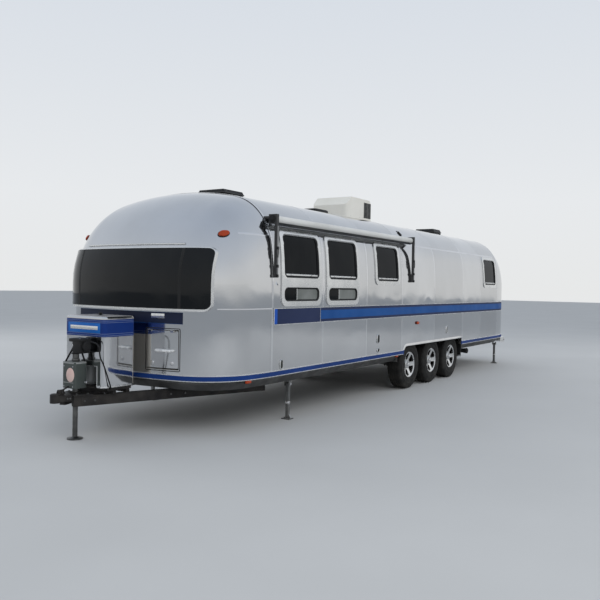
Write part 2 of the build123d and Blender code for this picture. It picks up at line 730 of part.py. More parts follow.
# Drawbar: an A of two beams under the channels, with the bottle rack and the nose plate
with BuildPart() as drawbar:
    run = (DRAWBAR_FRONT[0] - DRAWBAR_REAR[0], DRAWBAR_FRONT[1] - DRAWBAR_REAR[1])
    low_z = DRAWBAR_TOP_Z - DRAWBAR_HEIGHT
    for side in SIDES.values():
        middle_point = (
            (DRAWBAR_REAR[0] + DRAWBAR_FRONT[0]) / 2,
            side * (DRAWBAR_REAR[1] + DRAWBAR_FRONT[1]) / 2,
        )
        with BuildSketch(Plane.XY.offset(low_z)):
            with Locations(Location((*middle_point, 0), (0, 0, side * degrees(atan2(run[1], run[0]))))):
                Rectangle(hypot(*run), DRAWBAR_BEAM)
        extrude(amount=DRAWBAR_HEIGHT)
    with BuildSketch(Plane.XY.offset(DRAWBAR_TOP_Z)):
        with BuildLine():
            Polyline((4930, -170), (4930, 170), (5110, 120), (5110, -120), close=True)
        make_face()
        with Locations((JACK_X, 0)):
            Circle(JACK_TUBE_RADIUS, mode=Mode.SUBTRACT)
        with Locations(CHAIN_HOLES, (CHAIN_HOLES[0], -CHAIN_HOLES[1])):
            Circle(CHAIN_HOLE_RADIUS, mode=Mode.SUBTRACT)
    extrude(amount=NOSE_PLATE)
    rack_rear_x = COVER_FRONT_X - COVER_DEPTH + 60
    for bar_x in (rack_rear_x, COVER_FRONT_X - 170):
        bar_half = COVER_WIDTH / 2 - 12
        block((bar_x, bar_x + 40), (-bar_half, bar_half), (DRAWBAR_TOP_Z, COVER_Z[0] - SHEET))
    block(COVER_X, COVER_Y, (COVER_Z[0] - SHEET, COVER_Z[0]))
export_node(drawbar, "drawbar")

# Coupler: a socket for the tow ball on a tapered shank
with BuildPart() as coupler:
    socket_x = COUPLER_TIP_X - SOCKET_OUTER
    with BuildSketch(Plane.XY.offset(SOCKET_Z[0])):
        with Locations((socket_x, 0)):
            Circle(SOCKET_OUTER)
    extrude(amount=SOCKET_Z[1] - SOCKET_Z[0])
    with BuildSketch(Plane.XY.offset(SOCKET_Z[0] + 10)):
        with BuildLine():
            Polyline((5111, -90), (5111, 90), (socket_x, 38), (socket_x, -38), close=True)
        make_face()
    extrude(amount=SOCKET_Z[1] - SOCKET_Z[0] - 20)
    with Locations((socket_x, 0, SOCKET_Z[0])):
        Cylinder(BALL_BORE, SOCKET_DEPTH, align=(Align.CENTER, Align.CENTER, Align.MIN), mode=Mode.SUBTRACT)
    block((5140, 5200), (-14, 14), (SOCKET_Z[1] - 12, SOCKET_Z[1] + 42))
export_node(coupler, "coupler")

# Jack: a fixed tube with its powered head, and the leg that slides in it
with BuildPart() as jack_tube:
    with BuildSketch(Plane.XY.offset(JACK_TUBE_Z[0])):
        with Locations((JACK_X, 0)):
            Circle(JACK_TUBE_RADIUS)
            Circle(JACK_LEG_RADIUS + SLIDE_CLEARANCE, mode=Mode.SUBTRACT)
    extrude(amount=JACK_TUBE_Z[1] - JACK_TUBE_Z[0])
export_node(jack_tube, "jack_tube")

with BuildPart() as jack_head:
    block((JACK_X - 60, JACK_X + 70), (-60, 170), (JACK_TUBE_Z[1], 975))
    fillet(jack_head.edges().filter_by(Axis.Z), 30)
    fillet(jack_head.faces().sort_by(Axis.Z)[-1].edges(), 20)
export_node(jack_head, "jack_head")

with BuildPart() as jack_housing:
    block((JACK_X - 62, JACK_X + 84), (-92, 92), (496, 745))
    fillet(jack_housing.edges().filter_by(Axis.Z), 22)
    with Locations((JACK_X, 0, 600)):
        Cylinder(JACK_TUBE_RADIUS, 400, mode=Mode.SUBTRACT)
export_node(jack_housing, "jack_housing")

with BuildPart() as jack_leg:
    with Locations((JACK_X, 0, 0)):
        bottom = (Align.CENTER, Align.CENTER, Align.MIN)
        Cylinder(JACK_FOOT[0], JACK_FOOT[1], align=bottom)
        Cylinder(JACK_LEG_RADIUS, JACK_LEG_TOP_Z, align=bottom)
export_node(jack_leg, "jack_leg")

# Cable from the jack's head down to the left beam
with BuildPart() as jack_cable:
    with BuildLine() as cable_run:
        FilletPolyline(*CABLE_POINTS, radius=CABLE_BEND)
    with BuildSketch(Plane(origin=CABLE_POINTS[0], z_dir=cable_run.line % 0)):
        Circle(CABLE_RADIUS)
    sweep()
export_node(jack_cable, "jack_cable")


# Gas bottles on their rack, and the cover over them
def rounded_box(inset):
    """The cover's outer form, or its hollow, which runs out below."""
    low_z = COVER_Z[0] - inset
    with BuildPart() as box:
        block(grown(COVER_X, -inset), grown(COVER_Y, -inset), (low_z, COVER_Z[1] - inset))
        fillet(box.edges().filter_by(Axis.Z), COVER_EDGE - inset)
        fillet(box.faces().sort_by(Axis.Z)[-1].edges(), COVER_EDGE / 2 - inset)
    return box.part


with BuildPart() as gas_bottles:
    bottle_x = COVER_FRONT_X - COVER_DEPTH / 2
    with BuildSketch(Plane.XZ):
        with BuildLine():
            Polyline(
                (0, COVER_Z[0]),
                (BOTTLE_RADIUS - 14, COVER_Z[0]),
                (BOTTLE_RADIUS, COVER_Z[0] + 24),
                (BOTTLE_RADIUS, COVER_Z[0] + BOTTLE_HEIGHT - 120),
                (BOTTLE_RADIUS - 52, COVER_Z[0] + BOTTLE_HEIGHT - 60),
                (BOTTLE_RADIUS - 42, COVER_Z[0] + BOTTLE_HEIGHT),
                (0, COVER_Z[0] + BOTTLE_HEIGHT),
                close=True,
            )
        make_face()
    bottle = revolve(axis=Axis.Z, mode=Mode.PRIVATE)
    with Locations((bottle_x, BOTTLE_Y, 0), (bottle_x, -BOTTLE_Y, 0)):
        add(bottle)
export_node(gas_bottles, "gas_bottles")

with BuildPart() as gas_cover:
    add(rounded_box(0))
    add(rounded_box(SHEET), mode=Mode.SUBTRACT)
    cut_half = COVER_CUT[0] / 2
    cut_z = (COVER_Z[0] - 20, COVER_Z[0] + COVER_CUT[1])
    block((COVER_FRONT_X - 60, COVER_FRONT_X + 20), (-cut_half, cut_half), cut_z, Mode.SUBTRACT)
export_node(gas_cover, "gas_cover")

# Roof fittings, each cut to sit on the curve of the roof
with BuildPart() as air_conditioner:
    with BuildSketch(Plane.XZ.offset(-AC_HALF_WIDTH)):
        with BuildLine():
            Polyline(
                (AC_X[0], ROOF_TOP_Z - 60),
                (AC_X[0], AC_TOP_Z - 90),
                (AC_X[0] + 90, AC_TOP_Z),
                (AC_X[1] - 150, AC_TOP_Z),
                (AC_X[1], AC_TOP_Z - 130),
                (AC_X[1], ROOF_TOP_Z - 60),
                close=True,
            )
        make_face()
    extrude(amount=2 * AC_HALF_WIDTH)
    fillet(air_conditioner.edges().filter_by(Axis.Z), 50)
    add(skin_form, mode=Mode.SUBTRACT)
export_node(air_conditioner, "air_conditioner")

with BuildPart() as roof_bases:
    skylight_x, skylight_width, skylight_rise = SKYLIGHT
    with BuildSketch(Plane.XY.offset(ROOF_TOP_Z - 40)):
        with Locations((skylight_x, 0)):
            RectangleRounded(skylight_width, skylight_width, 50)
    extrude(amount=40 + skylight_rise, taper=12)
    for _, vent_x, width, base_rise, _ in VENTS:
        with BuildSketch(Plane.XY.offset(ROOF_TOP_Z - 40)):
            with Locations((vent_x, 0)):
                RectangleRounded(width, width, 30)
        extrude(amount=40 + base_rise)
        with BuildSketch(Plane.XY.offset(ROOF_TOP_Z + 8)):
            with Locations((vent_x, 0)):
                RectangleRounded(width - 40, width - 40, 20)
        extrude(amount=base_rise, mode=Mode.SUBTRACT)
    add(skin_form, mode=Mode.SUBTRACT)
export_node(roof_bases, "roof_bases")

for name, vent_x, width, base_rise, lid_rise in VENTS:
    lid_z = ROOF_TOP_Z + base_rise + 5.5
    with BuildPart() as vent_lid:
        with BuildSketch(Plane.XY.offset(lid_z)):
            with Locations((vent_x, 0)):
                RectangleRounded(width + 20, width + 20, 34)
        extrude(amount=lid_rise - 5.5, taper=30)
        with Locations(Location((vent_x + width / 2 + 10, 0, lid_z), (90, 0, 0))):
            Cylinder(*LID_BARREL)
    export_node(vent_lid, f"vent_lid_{name}")

# Awnings: a roll with end castings and two arms on each side
with BuildPart() as awning_rolls:
    for side in SIDES.values():
        with BuildSketch(Plane.YZ.offset(AWNING_X[0])):
            with Locations((side * AWNING_Y, AWNING_Z)):
                Circle(AWNING_RADIUS)
        extrude(amount=AWNING_X[1] - AWNING_X[0])
export_node(awning_rolls, "awning_rolls")

with BuildPart() as awning_frames:
    arm_width, arm_depth = AWNING_ARM
    for side in SIDES.values():
        for arm_x in (AWNING_X[0] - arm_width, AWNING_X[1]):
            arm_y = (side * (HALF_WIDTH + 6), side * (HALF_WIDTH + 6 + arm_depth))
            block((arm_x, arm_x + arm_width), arm_y, (ARM_BOTTOM_Z, AWNING_Z + AWNING_RADIUS))
            foot_y = (side * (HALF_WIDTH - 40), side * (HALF_WIDTH + 6))
            block((arm_x, arm_x + arm_width), foot_y, (ARM_BOTTOM_Z, ARM_BOTTOM_Z + 120))
            cap_y = (side * (AWNING_Y - AWNING_RADIUS - 8), side * (HALF_WIDTH + 6 + arm_depth))
            cap_z = (AWNING_Z - AWNING_RADIUS - 8, AWNING_Z + AWNING_RADIUS + 8)
            block((arm_x, arm_x + arm_width), cap_y, cap_z)
        rail_y = (side * 1040, side * (AWNING_Y - AWNING_RADIUS - 8))
        block((AWNING_X[0] - 40, AWNING_X[1] + 40), rail_y, (AWNING_Z + 6, AWNING_Z + 30))
    add(skin_form, mode=Mode.SUBTRACT)
export_node(awning_frames, "awning_frames")

# Rear bumper, which follows the plan of the tail
with BuildPart() as bumper:
    add(layer(hull(-BUMPER_PROUD, round_outline, BUMPER_Z[0]), hull(-8, round_outline, BUMPER_Z[0] - 50)))
    block((-FAR, BUMPER_END_X), (-FAR, FAR), BUMPER_Z, Mode.INTERSECT)
    for side in SIDES.values():
        rail_y = (side * (RAIL_Y - RAIL_WIDTH / 2), side * (RAIL_Y + RAIL_WIDTH / 2))
        block((TAIL_X - 20, RAIL_X[0]), rail_y, (RAIL_BOTTOM_Z + 10, BUMPER_Z[1]))
export_node(bumper, "bumper")

# Lamps
with BuildPart() as marker_lamps:
    lamp_plugs = []
    for side in SIDES.values():
        lamp_x, width, height, lamp_z = SIDE_LAMP
        lamp_span = (lamp_x - width / 2, lamp_x + width / 2)
        height_span = (lamp_z - height / 2, lamp_z + height / 2)
        lamp_plugs.append(side_slot(lamp_span, height_span, height / 2 - 1, side))
        for end in (1, -1):
            lamp_y, width, height, lamp_z = CAP_LAMP
            lamp_span = (side * lamp_y - width / 2, side * lamp_y + width / 2)
            height_span = (lamp_z - height / 2, lamp_z + height / 2)
            lamp_plugs.append(end_slot(lamp_span, height_span, height / 2 - 1, end))
    add(clipped(lamp_plugs, end_trim_layer))
    for side in SIDES.values():
        for lamp_x in LOW_LAMPS:
            width, height = LOW_LAMP
            lamp_y = (side * (HALF_WIDTH - WALL), side * (HALF_WIDTH - 12))
            block((lamp_x - width / 2, lamp_x + width / 2), lamp_y, (SKIN_BOTTOM_Z - height, SKIN_BOTTOM_Z))
export_node(marker_lamps, "marker_lamps")

with BuildPart() as tail_lamps:
    lamp_plugs = []
    for side in SIDES.values():
        for lamp_y, lamp_z in TAIL_LAMPS:
            radius = TAIL_LAMP_RADIUS
            lamp_span = (side * lamp_y - radius, side * lamp_y + radius)
            lamp_plugs.append(end_slot(lamp_span, (lamp_z - radius, lamp_z + radius), radius - 1, -1))
    add(clipped(lamp_plugs, end_trim_layer))
export_node(tail_lamps, "tail_lamps")

# Fittings on the left side, and the waste outlet below it
with BuildPart() as side_fittings:
    for fitting_x, fitting_z, width, height in SIDE_FITTINGS:
        with BuildSketch(Plane.XZ.offset(-HALF_WIDTH)):
            with Locations((fitting_x, fitting_z)):
                RectangleRounded(width, height, width / 2 - 1)
        extrude(amount=-10)
export_node(side_fittings, "side_fittings")

with BuildPart() as drain_outlet:
    for start, radius, length in ((200, DRAIN_RADIUS - 5, 200), (DRAIN_COLLAR, DRAIN_RADIUS, DRAIN_COLLAR)):
        with BuildSketch(Plane.XZ.offset(-(DRAIN_END_Y - start))):
            with Locations((DRAIN_X, DRAIN_Z)):
                Circle(radius)
        extrude(amount=-length)
    with BuildSketch(Plane.XY.offset(DRAIN_Z)):
        with Locations((DRAIN_X, DRAIN_END_Y - 150)):
            Circle(DRAIN_RADIUS - 6)
    extrude(amount=BELLY_Z - DRAIN_Z)
    with BuildSketch(Plane.XZ.offset(-(DRAIN_END_Y - 90))):
        with Locations((DRAIN_X, DRAIN_Z)):
            Circle(DRAIN_RADIUS - 9)
    extrude(amount=-91, mode=Mode.SUBTRACT)
export_node(drain_outlet, "drain_outlet")

# Brackets under the belly: a clevis for each stabiliser leg, and two guides for the entry step
with BuildPart() as under_brackets:
    for _, pivot_x in LEG_ROWS:
        for side in SIDES.values():
            leg_y = side * LEG_Y
            for cheek in (1, -1):
                cheek_y = (leg_y + cheek * CHEEK_GAP / 2, leg_y + cheek * (CHEEK_GAP / 2 + CHEEK))
                block((pivot_x - 30, pivot_x + 30), cheek_y, (LEG_PIVOT_Z - 22, BELLY_Z))
            with BuildSketch(Plane.XZ.offset(-(leg_y - CHEEK_GAP / 2 - 1))):
                with Locations((pivot_x, LEG_PIVOT_Z)):
                    Circle(LEG_PIN)
            extrude(amount=-(CHEEK_GAP + 2))
    for guide_x, turn in ((STEP_X[0], -1), (STEP_X[1], 1)):
        guide_y = (STEP_Y[0] + 5, STEP_Y[1] - 20)
        lip_x = (guide_x + turn * 12, guide_x - turn * (STEP_GUIDE - 12))
        block((guide_x + turn * 6, guide_x + turn * 12), guide_y, (STEP_Z[0] - 12, BELLY_Z))
        block(lip_x, guide_y, (STEP_Z[0] - 12, STEP_Z[0] - 6))
export_node(under_brackets, "under_brackets")

# Stabiliser legs at the four corners
for row, pivot_x in LEG_ROWS:
    for name, side in SIDES.items():
        leg_y = side * LEG_Y
        with BuildPart() as leg:
            half = LEG_TUBE / 2
            block((pivot_x - half, pivot_x + half), (leg_y - half, leg_y + half), (0, LEG_PIVOT_Z))
            with BuildSketch(Plane.XZ.offset(-(leg_y - half))):
                with Locations((pivot_x, LEG_PIVOT_Z)):
                    Circle(half)
            extrude(amount=-LEG_TUBE)
            block(
                (pivot_x - LEG_FOOT[0] / 2, pivot_x + LEG_FOOT[0] / 2),
                (leg_y - LEG_FOOT[1] / 2, leg_y + LEG_FOOT[1] / 2),
                (0, LEG_FOOT[2]),
            )
            with BuildSketch(Plane.XZ.offset(-(leg_y - half - 5))):
                with Locations((pivot_x, LEG_PIVOT_Z)):
                    Circle(LEG_PIN + SLIDE_CLEARANCE)
            extrude(amount=-(LEG_TUBE + 10), mode=Mode.SUBTRACT)
        export_node(leg, f"stabiliser_{row}_{name}")

# Entry step, which draws out from its guides under the door
with BuildPart() as entry_step:
    block(STEP_X, STEP_Y, STEP_Z)
    inner_x, inner_y = grown(STEP_X, -34), grown(STEP_Y, -34)
    block(inner_x, inner_y, (STEP_Z[0] - 1, STEP_Z[1] - 8), Mode.SUBTRACT)
export_node(entry_step, "entry_step")
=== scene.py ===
"""Looks of a long riveted aluminium travel caravan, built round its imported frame, in metres."""
import logging
import math
from dataclasses import dataclass
from enum import Enum

import bmesh
import bpy
from mathutils import Matrix, Vector


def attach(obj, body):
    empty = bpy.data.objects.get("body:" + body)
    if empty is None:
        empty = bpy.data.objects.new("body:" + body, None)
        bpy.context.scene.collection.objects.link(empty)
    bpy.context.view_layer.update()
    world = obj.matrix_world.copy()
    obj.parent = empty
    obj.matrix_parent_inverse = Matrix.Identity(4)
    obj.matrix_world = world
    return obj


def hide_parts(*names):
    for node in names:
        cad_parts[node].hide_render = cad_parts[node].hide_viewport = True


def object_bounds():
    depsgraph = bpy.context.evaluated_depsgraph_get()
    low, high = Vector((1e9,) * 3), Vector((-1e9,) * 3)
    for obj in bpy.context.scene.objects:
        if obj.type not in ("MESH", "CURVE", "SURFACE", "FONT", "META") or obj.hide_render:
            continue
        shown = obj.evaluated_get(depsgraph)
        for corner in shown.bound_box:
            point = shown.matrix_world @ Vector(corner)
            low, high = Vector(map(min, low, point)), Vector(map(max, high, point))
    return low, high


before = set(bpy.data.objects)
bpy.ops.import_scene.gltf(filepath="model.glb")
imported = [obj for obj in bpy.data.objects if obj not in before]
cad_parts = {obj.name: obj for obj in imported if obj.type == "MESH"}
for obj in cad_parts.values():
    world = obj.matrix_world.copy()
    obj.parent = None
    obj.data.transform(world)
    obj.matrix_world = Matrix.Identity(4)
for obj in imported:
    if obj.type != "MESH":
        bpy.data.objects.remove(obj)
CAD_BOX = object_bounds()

LOG = logging.getLogger("caravan")
Colour = tuple[float, float, float]
Point = tuple[float, float, float]
Stops = tuple[tuple[float, Colour], ...]
Spot = tuple[Vector, Vector]
Path = list[Spot]
Pair = tuple[float, float]
Flat = tuple[Pair, ...]
Quad = tuple[float, float, float, float]


class Side(Enum):
    """The two long sides of the caravan, as the sign of Y."""

    LEFT = 1
    RIGHT = -1


class End(Enum):
    """The two ends of the caravan, as the sign of X."""

    FRONT = 1
    REAR = -1


def fill_ramp(band: bpy.types.ColorRamp, stops: Stops) -> None:
    """Puts colours into a ramp.

    Args:
        band: the ramp.
        stops: places from 0 to 1, each with its colour.
    """
    while len(band.elements) < len(stops):
        band.elements.new(1.0)
    for element, (at, colour) in zip(band.elements, stops):
        element.position = at
        element.color = (*colour, 1.0)


class Graph:
    """The node tree of one material, with short calls to add and join nodes."""

    def __init__(self, name: str) -> None:
        """Starts a material with one shader joined to its output.

        Args:
            name: the material's name.
        """
        self.material = bpy.data.materials.new(name)
        self.material.use_nodes = True
        self.tree = self.material.node_tree
        self.tree.nodes.clear()
        self.shader = self.add("BsdfPrincipled")
        output = self.add("OutputMaterial")
        self.feed(output, "Surface", self.shader.outputs["BSDF"])
        self.place = self.add("TexCoord").outputs["Object"]

    def add(self, kind: str, **settings: object) -> bpy.types.Node:
        """Adds one node.

        Args:
            kind: the node's type, without its common prefix.
            settings: properties of the node by name.

        Returns:
            The new node.
        """
        node = self.tree.nodes.new("ShaderNode" + kind)
        for name, value in settings.items():
            setattr(node, name, value)
        return node

    def feed(self, node: bpy.types.Node, name: str | int, value: object) -> None:
        """Sets a socket to a plain value, or joins another node's output to it.

        Args:
            node: the node that has the socket.
            name: the socket's name or number.
            value: an output socket, a number or a tuple.
        """
        socket = node.inputs[name]
        if isinstance(value, bpy.types.NodeSocket):
            self.tree.links.new(value, socket)
        elif isinstance(value, tuple) and len(value) == 3 and socket.type == "RGBA":
            socket.default_value = (*value, 1.0)
        else:
            socket.default_value = value

    def set(self, **values: object) -> None:
        """Feeds the shader's own sockets, named with underscores for spaces."""
        for name, value in values.items():
            self.feed(self.shader, name.replace("_", " "), value)

    def axes(self) -> tuple[bpy.types.NodeSocket, ...]:
        """The place on the object as its X, Y and Z outputs."""
        apart = self.add("SeparateXYZ")
        self.feed(apart, 0, self.place)
        return tuple(apart.outputs)

    def noise(
        self, scale: float, detail: float = 3.0, stretch: Point = (1.0, 1.0, 1.0), bend: float = 0.0
    ) -> bpy.types.NodeSocket:
        """Smooth noise over the object.

        Args:
            scale: waves per metre.
            detail: how many finer layers are added.
            stretch: the scale along each axis.
            bend: how much the noise is distorted.

        Returns:
            An output from 0 to 1.
        """
        mapping = self.add("Mapping")
        self.feed(mapping, "Vector", self.place)
        self.feed(mapping, "Scale", stretch)
        texture = self.add("TexNoise")
        self.feed(texture, "Vector", mapping.outputs[0])
        self.feed(texture, "Scale", scale)
        self.feed(texture, "Detail", detail)
        self.feed(texture, "Distortion", bend)
        return texture.outputs["Fac"]

    def ramp(self, value: bpy.types.NodeSocket, stops: Stops, steps: bool = False) -> bpy.types.NodeSocket:
        """Turns a value into a colour.

        Args:
            value: the output to read.
            stops: places from 0 to 1, each with its colour.
            steps: keep each colour up to the next stop.

        Returns:
            The colour output.
        """
        node = self.add("ValToRGB")
        node.color_ramp.interpolation = "CONSTANT" if steps else "LINEAR"
        fill_ramp(node.color_ramp, stops)
        self.feed(node, "Fac", value)
        return node.outputs["Color"]

    def levels(
        self, value: bpy.types.NodeSocket, low: float, high: float, bottom: float = 0.0, top: float = 1.0
    ) -> bpy.types.NodeSocket:
        """Maps one range of values onto another, without going past its ends.

        Args:
            value: the output to read.
            low: the value that gives bottom.
            high: the value that gives top.
            bottom: the lowest result.
            top: the highest result.

        Returns:
            The mapped output.
        """
        node = self.add("MapRange")
        for name, given in zip(
            ("Value", "From Min", "From Max", "To Min", "To Max"), (value, low, high, bottom, top)
        ):
            self.feed(node, name, given)
        return node.outputs["Result"]

    def mix(self, amount: object, first: object, second: object) -> bpy.types.NodeSocket:
        """Mixes two colours.

        Args:
            amount: how much of the second, from 0 to 1.
            first: a colour or a colour output.
            second: a colour or a colour output.

        Returns:
            The mixed colour.
        """
        node = self.add("Mix", data_type="RGBA")
        self.feed(node, 0, amount)
        self.feed(node, 6, first)
        self.feed(node, 7, second)
        return node.outputs[2]

    def math(self, operation: str, first: object, second: object = 0.0) -> bpy.types.NodeSocket:
        """One sum on two values.

        Args:
            operation: the sum's name, such as ADD.
            first: a number or an output.
            second: a number or an output.

        Returns:
            The result.
        """
        node = self.add("Math", operation=operation)
        self.feed(node, 0, first)
        self.feed(node, 1, second)
        return node.outputs[0]

    def bump(
        self, height: bpy.types.NodeSocket, depth: float, under: bpy.types.NodeSocket | None = None
    ) -> bpy.types.NodeSocket:
        """Relief from a height.

        Args:
            height: the output that gives the height, from 0 to 1.
            depth: metres of relief at full height.
            under: a normal that this one lies on.

        Returns:
            The normal output.
        """
        node = self.add("Bump")
        self.feed(node, "Strength", 1.0)
        self.feed(node, "Distance", depth)
        self.feed(node, "Height", height)
        if under is not None:
            self.feed(node, "Normal", under)
        return node.outputs["Normal"]


@dataclass(frozen=True)
class Finish:
    """A plain finish: a colour that drifts, a grain, and road dust towards the ground."""

    name: str
    colour: Colour
    tone: Colour
    roughness: Pair = (0.35, 0.55)
    metallic: float = 0.0
    drift: float = 3.0
    grain: float = 220.0
    grain_depth: float = 0.00004
    coat: float = 0.0
    gloss: float = 0.5
    dust: float = 0.0
    dust_top: float = 0.9

    def make(self) -> bpy.types.Material:
        """Builds the material.

        Returns:
            The finished material.
        """
        graph = Graph(self.name)
        colour = graph.mix(graph.levels(graph.noise(self.drift, 5.0), 0.35, 0.65), self.colour, self.tone)
        if self.dust > 0.0:
            height = graph.levels(graph.axes()[2], 0.0, self.dust_top, self.dust, 0.0)
            cover = graph.math("MULTIPLY", height, graph.levels(graph.noise(9.0, 6.0), 0.35, 0.7))
            colour = graph.mix(cover, colour, ROAD_DUST)
        speck = graph.noise(self.grain, 2.0)
        graph.set(
            Base_Color=colour,
            Metallic=self.metallic,
            Roughness=graph.levels(graph.noise(self.drift * 4.0, 4.0), 0.3, 0.7, *self.roughness),
            Coat_Weight=self.coat,
            Coat_Roughness=0.08,
            Specular_IOR_Level=self.gloss,
            Normal=graph.bump(speck, self.grain_depth),
        )
        return graph.material


@dataclass(frozen=True)
class PolishedSkin:
    """Mirror-polished sheet: its panels differ a little and are wavy, with a pale lining inside."""

    name: str
    seams: tuple[float, ...]
    inside: Colour = (0.62, 0.58, 0.5)
    film: Colour = (0.47, 0.47, 0.46)
    shades: tuple[float, ...] = (0.62, 0.57, 0.64, 0.59, 0.65, 0.58, 0.63, 0.6, 0.64, 0.57, 0.62)

    def make(self) -> bpy.types.Material:
        """Builds the material.

        Returns:
            The finished material.
        """
        graph = Graph(self.name)
        x, y, z = graph.axes()
        low, high = CAD_BOX[0][0], CAD_BOX[1][0]
        places = (0.0, *((seam - low) / (high - low) for seam in sorted(self.seams)))
        stops = tuple((at, (shade, shade * 1.005, shade * 1.02)) for at, shade in zip(places, self.shades))
        panel = graph.ramp(graph.levels(x, low, high), stops, steps=True)
        film = graph.levels(graph.noise(1.7, 4.0, (1.0, 1.0, 0.6)), 0.35, 0.75)
        metal = graph.mix(graph.math("MULTIPLY", film, 0.35), panel, self.film)
        middle = graph.add("CombineXYZ")
        straight = graph.math("MINIMUM", graph.math("MAXIMUM", x, FORM.base_x[0]), FORM.base_x[1])
        graph.feed(middle, 0, graph.math("SUBTRACT", x, straight))
        graph.feed(middle, 1, y)
        graph.feed(middle, 2, graph.math("MULTIPLY", graph.math("SUBTRACT", z, FORM.curve_z), 0.6))
        facing = graph.add("VectorMath", operation="DOT_PRODUCT")
        graph.feed(facing, 0, middle.outputs[0])
        graph.feed(facing, 1, graph.add("NewGeometry").outputs["True Normal"])
        lining = graph.levels(facing.outputs["Value"], -0.12, -0.2)
        graph.set(
            Base_Color=graph.mix(lining, metal, self.inside),
            Metallic=graph.levels(lining, 0.0, 1.0, 1.0, 0.0),
            Roughness=graph.math(
                "ADD", graph.levels(film, 0.0, 1.0, 0.05, 0.12), graph.math("MULTIPLY", lining, 0.5)
            ),
        )
        waves = graph.bump(graph.noise(1.3, 2.0, (1.0, 1.0, 1.0), 0.4), 0.006)
        scratches = graph.bump(graph.noise(60.0, 3.0, (0.25, 0.25, 1.0)), 0.00002, waves)
        graph.set(Normal=scratches)
        return graph.material


@dataclass(frozen=True)
class DarkGlass:
    """Dark tinted safety glass with a thin film of dust."""

    name: str
    gloss: float = 0.05
    colour: Colour = (0.004, 0.005, 0.006)

    def make(self) -> bpy.types.Material:
        """Builds the material.

        Returns:
            The finished material.
        """
        graph = Graph(self.name)
        film = graph.levels(graph.noise(4.0, 5.0, (1.0, 1.0, 0.5)), 0.45, 0.8)
        graph.set(
            Base_Color=graph.mix(graph.math("MULTIPLY", film, 0.35), self.colour, (0.018, 0.018, 0.017)),
            Roughness=graph.levels(film, 0.0, 1.0, 0.03, 0.12),
            IOR=1.52,
            Specular_IOR_Level=self.gloss,
            Normal=graph.bump(graph.noise(1.1, 1.0), 0.0008),
        )
        return graph.material


